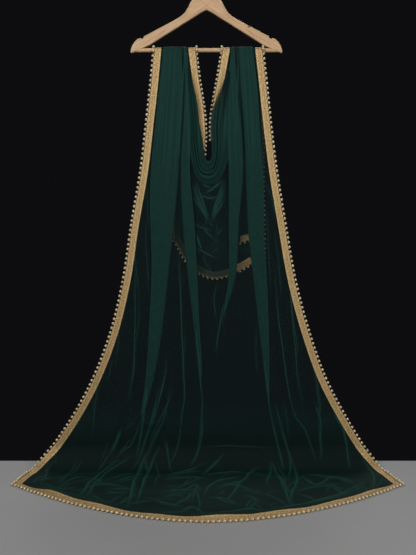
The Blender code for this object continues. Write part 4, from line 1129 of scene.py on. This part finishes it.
def make_lace(name, look):
    """A woven ribbon: a closed, crowned band along its edge of the net, with a tooth at each pearl."""
    line, side, winding = BORDERS[name]
    beat = run_length(bead_line(name)[0]) / look.pearl_spacing
    tooth = np.abs(np.cos(math.pi * beat)) ** 3
    sheets = []
    for face in (1, -1):
        strips = []
        for share in LACE_COLUMNS:
            across, way = line(side, BORDER_WIDTH * (1 - share))
            if share == 1:
                beyond, beyond_way = line(side, -LACE_TOOTH)
                across, way = across + (beyond - across) * tooth, way + (beyond_way - way) * tooth
            crown = 1 - (2 * share - 1) ** 4
            drop = drop_of(way)
            curl = LACE_CURL * (1 - share) ** 2 * (0.5 + 0.5 * np.sin(across * 33 + drop * 27 + 1.3))
            if name == "front_hem":
                curl = curl + hem_lift(across) * (1 - share)
            strips.append(spot(across, way, face * LACE_THICKNESS / 2 * (0.35 + 0.65 * crown) + curl))
        sheets.append(np.stack(strips, axis=1))
    top, bottom = sheets
    rows, columns = top.shape[:2]
    length = run_length(top[:, columns // 2])
    mesh = bpy.data.meshes.new(f"lace_{name}")
    ring = np.concatenate([top, bottom[:, ::-1]], axis=1)
    shares = np.array(LACE_COLUMNS + LACE_COLUMNS[::-1])
    around = ring.shape[1]
    here = np.arange((rows - 1) * around)
    after = here // around * around + (here + 1) % around
    quads = np.stack([here, after, after + around, here + around], axis=1)
    start_cap = list(range(around))
    end_cap = list(range((rows - 1) * around, rows * around))
    if winding < 0:
        faces = [*quads.tolist(), start_cap[::-1], end_cap]
    else:
        faces = [*quads[:, ::-1].tolist(), start_cap, end_cap[::-1]]
    mesh.from_pydata(ring.reshape(-1, 3).tolist(), [], faces)
    lie = mesh.uv_layers.new(name="lace")
    places = np.stack(np.broadcast_arrays(length[:, None], shares[None, :]), axis=-1).reshape(-1, 2)
    loops = np.empty(len(mesh.loops), dtype=int)
    mesh.loops.foreach_get("vertex_index", loops)
    lie.data.foreach_set("uv", places[loops].astype(np.float32).ravel())
    wrong = np.repeat((np.arange(around) >= columns)[None, :], rows, axis=0).astype(np.float32)
    behind = top[:, columns // 2, 1] > 0
    wrong *= np.where(behind, 1.0, FRONT_BACKING)[:, None]
    if name == "back_hem":
        wrong *= 1 - gold_out(np.linspace(0, 1, rows))[:, None].astype(np.float32)
    store(mesh, "wrong side", wrong * (name != "corner"))
    mesh.materials.append(finish(look, "gold ribbon"))
    mesh.shade_smooth()
    place_piece(add_object(f"lace_{name}", mesh), [f"border_{name}"] if name != "corner" else [])


def bead_line(name):
    """The middles of a border's beads, clear of the bar and the floor, with the way back to the border."""
    line, side, _ = BORDERS[name]
    edge = spot(*line(side, 0.0), 0.0)
    middle = spot(*line(side, -BEAD_RADIUS - BEAD_GAP), 0.0)
    nearest = BAR_RADIUS + BEAD_RADIUS + SEAM
    from_bar = middle - [0, 0, BAR_Z]
    from_bar[:, 0] = 0
    apart = np.linalg.norm(from_bar, axis=1, keepdims=True)
    middle = middle + from_bar / apart * np.maximum(nearest - apart, 0)
    middle[:, 2] = np.maximum(middle[:, 2], FLOOR_Z + BEAD_RADIUS + SEAM)
    back = edge - middle
    return middle, back / np.linalg.norm(back, axis=1, keepdims=True)


def bead_growth(name, count):
    """How large the beads are along a border, as shares of a full one."""
    line, side, _ = BORDERS[name]
    way = line(side, 0.0)[1]
    if name == "corner":
        return np.full(count, CORNER_BEADS)
    if name == "back_hem":
        return BACK_HEM_BEADS + BACK_HEM_GROWN * gold_out(np.linspace(0, 1, count))
    full = NECK_BEADS if name.startswith("neck") else 1.0
    return full - (full - BEADS_BEHIND) * ease((way - TURN) / 0.01)


# finishes: the net's cell, the ribbon's weave, and the lie of the hanger's wood
NET_CELL = 0.0013
MOST_COVER = 0.985
RIBBON_CORDS = 11
RIBBON_PICK = 0.0011
RIBBON_GRAIN = (290.0, 5.5, 1.0)
ARM_SLOPE = math.radians(30)
KNOT = (0.124, 0.0, -0.195)
KNOT_SHAPE = (1.0, 0.0, 1.4)
JOINT_TOP_Z = -0.136
JOINT_SLOPE = 1.05


def node(tree, kind, inputs=None, **values):
    """A node with its settings and its inputs: each a number, a colour or another node's output."""
    made = tree.nodes.new(kind)
    for key, value in values.items():
        setattr(made, key, value)
    for key, value in (inputs or {}).items():
        if isinstance(value, bpy.types.NodeSocket):
            tree.links.new(value, made.inputs[key])
        else:
            made.inputs[key].default_value = value
    return made


def new_finish(name, **shader_values):
    """A material with these values on its shader."""
    made = bpy.data.materials.new(name)
    made.use_nodes = True
    tree = made.node_tree
    shader = tree.nodes["Principled BSDF"]
    for key, value in shader_values.items():
        shader.inputs[key.replace("_", " ")].default_value = value
    return made, tree, shader


def maths(tree, operation, one, two=0.0, three=0.0):
    return node(tree, "ShaderNodeMath", {0: one, 1: two, 2: three}, operation=operation).outputs[0]


def mixed(tree, share, one, two):
    return node(tree, "ShaderNodeMix", {0: share, 6: one, 7: two}, data_type="RGBA").outputs[2]


def noise(tree, place, scale, detail, distortion=0.0, **settings):
    values = {"Vector": place, "Scale": scale, "Detail": detail, "Distortion": distortion}
    return node(tree, "ShaderNodeTexNoise", values, **settings).outputs[0]


def fading(tree, value, start, end, high, low):
    """One number at the start of a range, another at its end, and level beyond them."""
    values = {0: value, 1: start, 2: end, 3: high, 4: low}
    return node(tree, "ShaderNodeMapRange", values, clamp=True).outputs[0]


def scaled(tree, place, factors):
    return node(tree, "ShaderNodeMapping", {0: place, 3: factors}).outputs[0]


def attribute(tree, name):
    return node(tree, "ShaderNodeAttribute", attribute_name=name).outputs["Fac"]


def own_place(tree):
    return node(tree, "ShaderNodeTexCoord").outputs["Object"]


def dress(tree, shader, colour, height=None, strength=0.0, distance=0.0):
    """Link a finish's colour, and its relief where it has one."""
    tree.links.new(colour, shader.inputs["Base Color"])
    if height is not None:
        bump = node(tree, "ShaderNodeBump", {"Height": height, "Strength": strength, "Distance": distance})
        tree.links.new(bump.outputs[0], shader.inputs["Normal"])


def toned(colour, *factors):
    """A colour times one factor, or times one for each channel."""
    return tuple(min(c * f, 1.0) for c, f in zip(colour, factors * 3 if len(factors) == 1 else factors))


def ramp(tree, value, stops):
    """A value turned into a colour, or into a grey, by its stops."""
    made = node(tree, "ShaderNodeValToRGB", {0: value})
    while len(made.color_ramp.elements) < len(stops):
        made.color_ramp.elements.new(0.5)
    for element, (position, colour) in zip(made.color_ramp.elements, stops):
        element.position = position
        element.color = (*colour, 1.0) if len(colour) == 3 else (colour[0],) * 3 + (1.0,)
    return made.outputs["Color"]


def net_finish(look):
    """Fine net: its cover is thin where it lies single and grows where it is gathered or folded. Where it is
    veiled its colour is painted darker, a painted shade, and where it is gathered it is painted lighter, a
    painted sheen.
    """
    made, tree, shader = new_finish(
        "fine net", Roughness=0.7, Metallic=0.0, Sheen_Weight=0.05, Sheen_Roughness=0.5,
        Sheen_Tint=(0.15, 0.75, 0.55, 1.0), Specular_IOR_Level=0.12,
    )
    flow = node(tree, "ShaderNodeUVMap", uv_map="cloth").outputs[0]
    gather, veil = attribute(tree, "gather"), attribute(tree, "veil")
    holes = node(
        tree, "ShaderNodeTexVoronoi", {"Vector": flow, "Scale": 1 / NET_CELL, "Randomness": 0.35},
        feature="DISTANCE_TO_EDGE", voronoi_dimensions="2D",
    ).outputs["Distance"]
    thread = fading(tree, holes, 0.05, 0.22, 1.0, 0.0)
    cloudy = noise(tree, flow, 34.0, 3.0, noise_dimensions="2D")
    open_cover = maths(tree, "MULTIPLY_ADD", thread, look.net_cover * 0.4, look.net_cover * 0.75)
    uneven = maths(tree, "MULTIPLY_ADD", cloudy, 0.45, 0.775)
    closed = maths(tree, "ADD", maths(tree, "MULTIPLY", gather, look.crease_cover), veil)
    cover = maths(tree, "MULTIPLY_ADD", open_cover, uneven, closed)
    tree.links.new(maths(tree, "MINIMUM", cover, MOST_COVER), shader.inputs["Alpha"])
    # painted shade: a darker copy of the net colour, mixed in by the veil
    lying = (*toned(look.net_colour, LYING_PAINTED_SHADE), 1.0)
    single = mixed(tree, maths(tree, "MINIMUM", veil, 1.0), (*look.net_colour, 1.0), lying)
    # gathered places take the lighter fold colour: a painted sheen on folds and creases
    dress(tree, shader, mixed(tree, maths(tree, "MINIMUM", gather, 1.0), single, (*look.fold_painted_sheen_colour, 1.0)))
    return made


def lace_finish(look):
    """Woven gold ribbon: lengthwise cords, a brighter satin strip along the net, and a fine cross weave."""
    made, tree, shader = new_finish("gold ribbon", Roughness=0.45, Specular_IOR_Level=0.4)
    lie = node(tree, "ShaderNodeUVMap", uv_map="lace").outputs[0]
    parts = node(tree, "ShaderNodeSeparateXYZ", {0: lie})
    length, share = parts.outputs[0], parts.outputs[1]
    cords = maths(tree, "MULTIPLY", share, 2 * math.pi * RIBBON_CORDS)
    cord = maths(tree, "MULTIPLY_ADD", maths(tree, "SINE", cords), 0.5, 0.5)
    picks = maths(tree, "SINE", maths(tree, "MULTIPLY", length, 2 * math.pi / RIBBON_PICK))
    weave = maths(tree, "MULTIPLY_ADD", picks, 0.22, cord)
    strip = ramp(tree, share, (
        (0.0, (0.3,)), (0.05, (0.8,)), (0.24, (0.85,)), (0.30, (0.45,)), (0.42, (0.62,)), (0.62, (0.5,)),
        (0.68, (0.4,)), (0.76, (0.66,)), (0.94, (0.8,)), (1.0, (0.7,)),
    ))
    worn = noise(tree, scaled(tree, lie, (90.0, 14.0, 1.0)), 2.5, 4.0)
    tone = maths(tree, "MULTIPLY_ADD", weave, 0.28, maths(tree, "MULTIPLY_ADD", worn, 0.35, -0.10))
    shade = maths(tree, "MULTIPLY_ADD", strip, 0.62, tone)
    grains = noise(tree, scaled(tree, lie, RIBBON_GRAIN), 1.0, 2.0)
    shade = maths(tree, "MULTIPLY_ADD", maths(tree, "SUBTRACT", grains, 0.5), 1.9, shade)
    colour = ramp(tree, shade, (
        (0.15, toned(look.gold_colour, 0.40, 0.35, 0.28)), (0.50, tuple(look.gold_colour)),
        (0.85, toned(look.gold_colour, 1.5, 1.65, 2.0)),
    ))
    wrong = attribute(tree, "wrong side")
    rim = ramp(tree, share, ((0.90, (1.0,)), (0.955, (0.45,))))
    backing = maths(tree, "MULTIPLY", maths(tree, "MULTIPLY", wrong, 0.97), rim)
    tree.links.new(maths(tree, "MULTIPLY_ADD", wrong, -0.43, 0.45), shader.inputs["Metallic"])
    dress(tree, shader, mixed(tree, backing, colour, (*look.backing_colour, 1.0)), weave, 0.55, 0.0004)
    return made


def pearl_finish(look):
    """Golden pearls, a little uneven in colour, under a clear coat."""
    made, tree, shader = new_finish(
        "champagne pearl", Metallic=0.2, Roughness=0.25, Coat_Weight=1.0, Coat_Roughness=0.07,
        Specular_IOR_Level=0.7,
    )
    patches = noise(tree, own_place(tree), 160.0, 1.0)
    colour = ramp(tree, patches, ((0.35, toned(look.pearl_colour, 0.72)), (0.62, tuple(look.pearl_colour))))
    dress(tree, shader, colour, patches, 0.12, 0.0006)
    return made


def thread_finish(look):
    """Brown sewing thread."""
    made, tree, shader = new_finish("brown thread", Roughness=0.8, Metallic=0.0, Specular_IOR_Level=0.2)
    twist = noise(tree, own_place(tree), 700.0, 1.0)
    dress(tree, shader, ramp(tree, twist, ((0.3, (0.035, 0.016, 0.007)), (0.7, (0.10, 0.055, 0.022)))))
    return made


def wood_finish(look, along_arms):
    """Pale beech: long grain down each arm, darker end grain at the crown's joint, and one small knot."""
    made, tree, shader = new_finish(
        "beech arms" if along_arms else "beech bar", Roughness=0.46, Coat_Weight=0.18, Coat_Roughness=0.3,
    )
    place = own_place(tree)
    parts = node(tree, "ShaderNodeSeparateXYZ", {0: place})
    lie = place
    if along_arms:
        aside = maths(tree, "ABSOLUTE", parts.outputs[0])
        folded = node(tree, "ShaderNodeCombineXYZ", {0: aside, 1: parts.outputs[1], 2: parts.outputs[2]})
        lie = node(tree, "ShaderNodeMapping", {0: folded.outputs[0], 2: (0.0, -ARM_SLOPE, 0.0)}).outputs[0]
    grain = noise(tree, scaled(tree, lie, (5.0, 60.0, 75.0)), 3.2, 6.0, 0.8)
    flecks = noise(tree, scaled(tree, lie, (40.0, 900.0, 900.0)), 1.6, 2.0)
    pale, deep = tuple(look.wood_colour), toned(look.wood_colour, 0.72, 0.60, 0.50)
    colour = ramp(tree, grain, ((0.30, deep), (0.50, pale), (0.70, toned(pale, 1.16))))
    colour = mixed(tree, fading(tree, flecks, 0.60, 0.75, 0.0, 0.35), colour, (*deep, 1.0))
    if along_arms:
        beside = node(tree, "ShaderNodeVectorMath", {0: place, 1: KNOT}, operation="SUBTRACT").outputs[0]
        flat = node(tree, "ShaderNodeVectorMath", {0: beside, 1: KNOT_SHAPE}, operation="MULTIPLY").outputs[0]
        away = node(tree, "ShaderNodeVectorMath", {0: flat}, operation="LENGTH").outputs[1]
        knot = fading(tree, away, 0.0022, 0.0055, 0.85, 0.0)
        colour = mixed(tree, knot, colour, (0.20, 0.085, 0.035, 1.0))
        below = maths(tree, "SUBTRACT", JOINT_TOP_Z, parts.outputs[2])
        height = maths(tree, "MULTIPLY_ADD", aside, JOINT_SLOPE, below)
        seam = fading(tree, maths(tree, "ABSOLUTE", height), 0.0006, 0.0020, 0.55, 0.0)
        colour = mixed(tree, seam, colour, (*deep, 1.0))
    dress(tree, shader, colour, grain, 0.15, 0.0004)
    return made


def steel_finish(look):
    """Polished wire with faint marks."""
    made, tree, shader = new_finish("polished wire", Metallic=1.0)
    marks = noise(tree, own_place(tree), 420.0, 3.0)
    tree.links.new(fading(tree, marks, 0.3, 0.7, 0.16, 0.30), shader.inputs["Roughness"])
    pale = tuple(look.steel_colour)
    dress(tree, shader, ramp(tree, marks, ((0.3, toned(pale, 0.86)), (0.7, pale))))
    return made


def floor_finish(stage):
    """Plain matt floor."""
    made, tree, shader = new_finish("plain floor", Roughness=0.9, Specular_IOR_Level=0.15)
    soft = noise(tree, own_place(tree), 3.0, 2.0)
    pale = tuple(stage.floor_colour)
    dress(tree, shader, ramp(tree, soft, ((0.35, toned(pale, 0.97)), (0.65, pale))))
    return made


def finish(look, name):
    """The named finish, made once."""
    makers = {
        "fine net": net_finish, "gold ribbon": lace_finish, "champagne pearl": pearl_finish,
        "brown thread": thread_finish,
        "beech arms": lambda look: wood_finish(look, True),
        "beech bar": lambda look: wood_finish(look, False),
        "polished wire": steel_finish, "plain floor": floor_finish,
    }
    return bpy.data.materials.get(name) or makers[name](look)


def kept(tree, name, kind):
    """In a geometry tree, a value that the mesh keeps for each of its points or faces."""
    return node(tree, "GeometryNodeInputNamedAttribute", {"Name": name}, data_type=kind).outputs[0]


def pearl_edging_tree(pearl, thread):
    """Pearls on small thread loops at even steps along a line, each turned towards the border."""
    tree = bpy.data.node_groups.new("pearl edging", "GeometryNodeTree")
    face = tree.interface
    face.new_socket("Line", in_out="INPUT", socket_type="NodeSocketGeometry")
    for label, kind, value in (
        ("Spacing", "NodeSocketFloat", 0.0143), ("Pearl radius", "NodeSocketFloat", 0.0044),
        ("Size spread", "NodeSocketFloat", BEAD_SPREAD), ("Seed", "NodeSocketInt", 1),
    ):
        face.new_socket(label, in_out="INPUT", socket_type=kind).default_value = value
    face.new_socket("Pearls", in_out="OUTPUT", socket_type="NodeSocketGeometry")
    given = node(tree, "NodeGroupInput").outputs
    line = node(tree, "GeometryNodeMeshToCurve", {"Mesh": given["Line"]}).outputs[0]
    spaced = {"Curve": line, "Length": given["Spacing"]}
    stops = node(tree, "GeometryNodeResampleCurve", spaced, mode="LENGTH")
    rounding = {"Segments": 8, "Rings": 6, "Radius": given["Pearl radius"]}
    pearl_ball = node(tree, "GeometryNodeMeshUVSphere", rounding)
    ring = node(tree, "GeometryNodeCurvePrimitiveCircle", {"Resolution": 6, "Radius": THREAD_LOOP}).outputs[0]
    thin = {"Resolution": 3, "Radius": THREAD_RADIUS}
    wire = node(tree, "GeometryNodeCurvePrimitiveCircle", thin).outputs[0]
    loop = node(tree, "GeometryNodeCurveToMesh", {0: ring, 1: wire}).outputs[0]
    reach = maths(tree, "ADD", given["Pearl radius"], BEAD_GAP)
    shift = node(tree, "ShaderNodeCombineXYZ", {0: reach}).outputs[0]
    moved = node(tree, "GeometryNodeTransform", {"Geometry": loop, "Translation": shift}).outputs[0]
    both = node(tree, "GeometryNodeJoinGeometry")
    marked = node(
        tree, "GeometryNodeStoreNamedAttribute", {"Geometry": moved, "Name": "thread", "Value": True},
        data_type="BOOLEAN", domain="FACE",
    )
    tree.links.new(pearl_ball.outputs["Mesh"], both.inputs[0])
    tree.links.new(marked.outputs[0], both.inputs[0])
    smooth = node(tree, "GeometryNodeSetShadeSmooth", {0: both.outputs[0]}).outputs[0]
    back = kept(tree, "back", "FLOAT_VECTOR")
    turned = node(tree, "FunctionNodeAlignEulerToVector", {"Vector": back}, axis="X").outputs[0]
    low = maths(tree, "SUBTRACT", 1.0, given["Size spread"])
    sized = node(tree, "FunctionNodeRandomValue", data_type="FLOAT")
    scale_in = [socket for socket in sized.inputs if socket.enabled]
    tree.links.new(low, scale_in[0])
    scale_in[1].default_value = 1.0
    tree.links.new(given["Seed"], sized.inputs["Seed"])
    scale_out = [socket for socket in sized.outputs if socket.enabled][0]
    scale = maths(tree, "MULTIPLY", scale_out, kept(tree, "grown", "FLOAT"))
    row = node(tree, "GeometryNodeInstanceOnPoints", {
        "Points": stops.outputs[0], "Instance": smooth, "Rotation": turned, "Scale": scale,
    }).outputs[0]
    real = node(tree, "GeometryNodeRealizeInstances", {0: row}).outputs[0]
    dressed = node(tree, "GeometryNodeSetMaterial", {0: real, "Material": pearl}).outputs[0]
    loops = {0: dressed, "Selection": kept(tree, "thread", "BOOLEAN"), "Material": thread}
    dressed = node(tree, "GeometryNodeSetMaterial", loops).outputs[0]
    node(tree, "NodeGroupOutput", {0: dressed})
    return tree


def input_key(tree, label):
    return next(item.identifier for item in tree.interface.items_tree if item.name == label)


def make_pearls(name, look, seed):
    """One border's row of pearls: its line with the edging put on, kept as a mesh."""
    middle, back = bead_line(name)
    mesh = bpy.data.meshes.new(f"pearl_line_{name}")
    mesh.from_pydata(middle.tolist(), [(i, i + 1) for i in range(len(middle) - 1)], [])
    store(mesh, "back", back, "FLOAT_VECTOR", "vector")
    store(mesh, "grown", bead_growth(name, len(middle)))
    guide = add_object(f"pearl_line_{name}", mesh)
    tree = bpy.data.node_groups.get("pearl edging") or pearl_edging_tree(
        finish(look, "champagne pearl"), finish(look, "brown thread")
    )
    edging = guide.modifiers.new("pearl edging", "NODES")
    edging.node_group = tree
    closer = NECK_CLOSER if name.startswith("neck") else 1.0
    for label, value in (
        ("Spacing", look.pearl_spacing * closer), ("Pearl radius", look.pearl_radius),
        ("Size spread", BEAD_SPREAD), ("Seed", seed),
    ):
        edging[input_key(tree, label)] = value
    bpy.context.view_layer.update()
    seen = guide.evaluated_get(bpy.context.evaluated_depsgraph_get())
    pearls = bpy.data.meshes.new_from_object(seen)
    bpy.data.objects.remove(guide, do_unlink=True)
    pearls.name = f"pearls_{name}"
    place_piece(add_object(f"pearls_{name}", pearls), [f"beads_{name}"] if name != "corner" else [])


# the tools


def size(name, description, default, **more):
    return bpy.props.FloatProperty(name=name, description=description, default=default, unit="LENGTH", **more)


def colour(name, description, default):
    return bpy.props.FloatVectorProperty(
        name=name, description=description, default=default, subtype="COLOR", size=3, min=0.0, max=1.0
    )


def share(name, description, default):
    return bpy.props.FloatProperty(
        name=name, description=description, default=default, min=0.0, max=1.0, subtype="FACTOR"
    )


def power(name, description, default):
    return bpy.props.FloatProperty(name=name, description=description, default=default, min=0.0, unit="POWER")


class StoleLook(bpy.types.PropertyGroup):
    net_colour: colour("Net colour", "Colour of the net where it lies single", (0.0070, 0.0300, 0.0275))
    # the net's green painted lighter where it is gathered: a painted sheen
    fold_painted_sheen_colour: colour("Fold colour", "Colour of the net where it is folded", (0.0115, 0.058, 0.045))
    net_cover: share("Net cover", "How much a single layer of net hides", 0.33)
    crease_cover: share("Crease cover", "How much more a gathered place hides", 0.84)
    gold_colour: colour("Ribbon colour", "Colour of the woven border", (0.56, 0.365, 0.15))
    backing_colour: colour("Ribbon backing", "Colour of the border's wrong side", (0.012, 0.030, 0.018))
    pearl_colour: colour("Pearl colour", "Colour of the pearls", (0.96, 0.77, 0.47))
    pearl_spacing: size("Pearl spacing", "Distance from one pearl to the next", 0.0143, min=0.01, max=0.03)
    pearl_radius: size("Pearl radius", "Radius of one pearl", 0.0044, min=0.002, max=0.006)
    wood_colour: colour("Wood colour", "Colour of the hanger's wood", (0.80, 0.52, 0.29))
    steel_colour: colour("Hook colour", "Colour of the hook's wire", (0.72, 0.72, 0.74))


class StoleStage(bpy.types.PropertyGroup):
    floor_colour: colour("Floor colour", "Colour of the plain floor", (0.46, 0.46, 0.46))
    air_colour: colour("Surroundings", "Colour of the space round the floor", (0.0042, 0.0042, 0.0050))
    key_light: power("Key light", "Strength of the main soft light", 52.0)
    fill_light: power("Fill light", "Strength of the light from the other side", 24.0)
    back_light: power("Back light", "Strength of the light from behind", 22.0)


class STOLE_OT_stage(bpy.types.Operator):
    """Lay the plain floor, hang the soft lights and set up the camera"""

    bl_idname = "stole.stage"
    bl_label = "Stage"

    def execute(self, context):
        look = context.scene.stole_stage
        mesh = bpy.data.meshes.new("floor")
        side, front, rear, z = FLOOR_HALF_WIDTH, FLOOR_FRONT_Y, FLOOR_BACK_Y, FLOOR_Z - FLOOR_GAP
        corners = ((-side, front, z), (side, front, z), (side, rear, z), (-side, rear, z))
        mesh.from_pydata(corners, [], [(0, 1, 2, 3)])
        mesh.materials.append(finish(look, "plain floor"))
        floor = add_object("floor", mesh)
        world = bpy.data.worlds.new("surroundings")
        world.use_nodes = True
        air = world.node_tree.nodes["Background"]
        air.inputs["Color"].default_value = (*look.air_colour, 1.0)
        context.scene.world = world
        for name, spot_at, width, strength in (
            ("key light", (-1.5, -2.6, 0.9), 1.8, look.key_light),
            ("fill light", (2.0, -2.2, -0.1), 1.6, look.fill_light),
            ("back light", (0.3, 1.7, 0.9), 1.4, look.back_light),
        ):
            lamp = bpy.data.lights.new(name, "AREA")
            lamp.size = width
            lamp.energy = strength
            made = add_object(name, lamp)
            made.location = spot_at
            made.rotation_euler = (Vector(LIGHTS_AIM) - Vector(spot_at)).to_track_quat("-Z", "Y").to_euler()
            made.visible_camera = False
        eye = bpy.data.cameras.new("camera")
        eye.lens = CAMERA_LENS
        eye.sensor_width = CAMERA_SENSOR
        made = add_object("camera", eye)
        made.location = CAMERA_AT
        made.rotation_euler = (math.radians(90 - CAMERA_PITCH), 0, 0)
        context.scene.camera = made
        context.scene.view_settings.view_transform = "Standard"
        context.scene.cycles.transparent_max_bounces = LAYERS_SEEN
        return {"FINISHED"}


class STOLE_OT_hanger(bpy.types.Operator):
    """Give the hanger's wood and wire their finishes"""

    bl_idname = "stole.hanger"
    bl_label = "Hanger"

    def execute(self, context):
        look = context.scene.stole_look
        for part, name in (
            ("hanger_yoke", "beech arms"), ("hanger_bar", "beech bar"), ("hanger_hook", "polished wire"),
        ):
            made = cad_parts[part]
            for slot in made.material_slots:
                slot.material = finish(look, name)
        return {"FINISHED"}


class STOLE_OT_borders(bpy.types.Operator):
    """Weave the gold ribbon round the net's edges and the neck slit"""

    bl_idname = "stole.borders"
    bl_label = "Gold Borders"

    def execute(self, context):
        for name in BORDERS:
            make_lace(name, context.scene.stole_look)
        return {"FINISHED"}


class STOLE_OT_pearls(bpy.types.Operator):
    """String the pearls along the borders"""

    bl_idname = "stole.pearls"
    bl_label = "Pearls"

    def execute(self, context):
        for seed, name in enumerate(BORDERS):
            make_pearls(name, context.scene.stole_look, seed + 3)
        return {"FINISHED"}


class STOLE_OT_strands(bpy.types.Operator):
    """Hang the two gathered strands over the bar"""

    bl_idname = "stole.strands"
    bl_label = "Strands Over the Bar"

    def execute(self, context):
        for side in ("left", "right"):
            points, gather, veil = make_strand(side)
            made = net_piece(f"net_{side}", points, gather, veil, False)
            place_piece(made, [f"strand_{side}", f"over_bar_{side}", f"back_strand_{side}"])
            flat_size(points)
        return {"FINISHED"}


class STOLE_OT_fall(bpy.types.Operator):
    """Hang the pleated front below the neck slit"""

    bl_idname = "stole.fall"
    bl_label = "Front Fall"

    def execute(self, context):
        points, gather, veil = make_fall()
        made = net_piece("net_fall", points, gather, veil, True)
        place_piece(made, ["front_fall"])
        flat_size(points)
        return {"FINISHED"}


class STOLE_OT_train(bpy.types.Operator):
    """Lay the crumpled train on the floor"""

    bl_idname = "stole.train"
    bl_label = "Train"

    def execute(self, context):
        points, gather, veil = make_train()
        made = net_piece("net_train", points, gather, veil, True)
        place_piece(made, ["floor_train"])
        flat_size(points)
        return {"FINISHED"}


class STOLE_OT_flap(bpy.types.Operator):
    """Hang the short end behind"""

    bl_idname = "stole.flap"
    bl_label = "Short End Behind"

    def execute(self, context):
        points, gather, veil = make_flap()
        made = net_piece("net_flap", points, gather, veil, False)
        place_piece(made, ["back_flap"])
        flat_size(points)
        return {"FINISHED"}


class STOLE_OT_cowl(bpy.types.Operator):
    """Drape the cowl round the neck slit"""

    bl_idname = "stole.cowl"
    bl_label = "Cowl"

    def execute(self, context):
        points, gather, veil = make_cowl()
        made = net_piece("net_cowl", points, gather, veil, False)
        place_piece(made, ["cowl"])
        flat_size(points)
        return {"FINISHED"}


STEPS = (
    STOLE_OT_stage, STOLE_OT_hanger, STOLE_OT_borders, STOLE_OT_pearls, STOLE_OT_strands, STOLE_OT_fall,
    STOLE_OT_train, STOLE_OT_flap, STOLE_OT_cowl,
)


class STOLE_PT_panel(bpy.types.Panel):
    """The stole's settings and its making, step by step"""

    bl_idname = "STOLE_PT_panel"
    bl_label = "Beaded Net Stole"
    bl_space_type = "VIEW_3D"
    bl_region_type = "UI"
    bl_category = "Stole"

    def draw(self, context):
        layout = self.layout
        for settings in (context.scene.stole_look, context.scene.stole_stage):
            for name in settings.__annotations__:
                layout.prop(settings, name)
        for step in STEPS:
            layout.operator(step.bl_idname)


CLASSES = (StoleLook, StoleStage, *STEPS, STOLE_PT_panel)


def register():
    for made in CLASSES:
        bpy.utils.register_class(made)
    bpy.types.Scene.stole_look = bpy.props.PointerProperty(type=StoleLook)
    bpy.types.Scene.stole_stage = bpy.props.PointerProperty(type=StoleStage)


def unregister():
    del bpy.types.Scene.stole_stage
    del bpy.types.Scene.stole_look
    for made in reversed(CLASSES):
        bpy.utils.unregister_class(made)


def main():
    register()
    for step in STEPS:
        family, name = step.bl_idname.split(".")
        getattr(getattr(bpy.ops, family), name)()


if __name__ == "__main__":
    main()
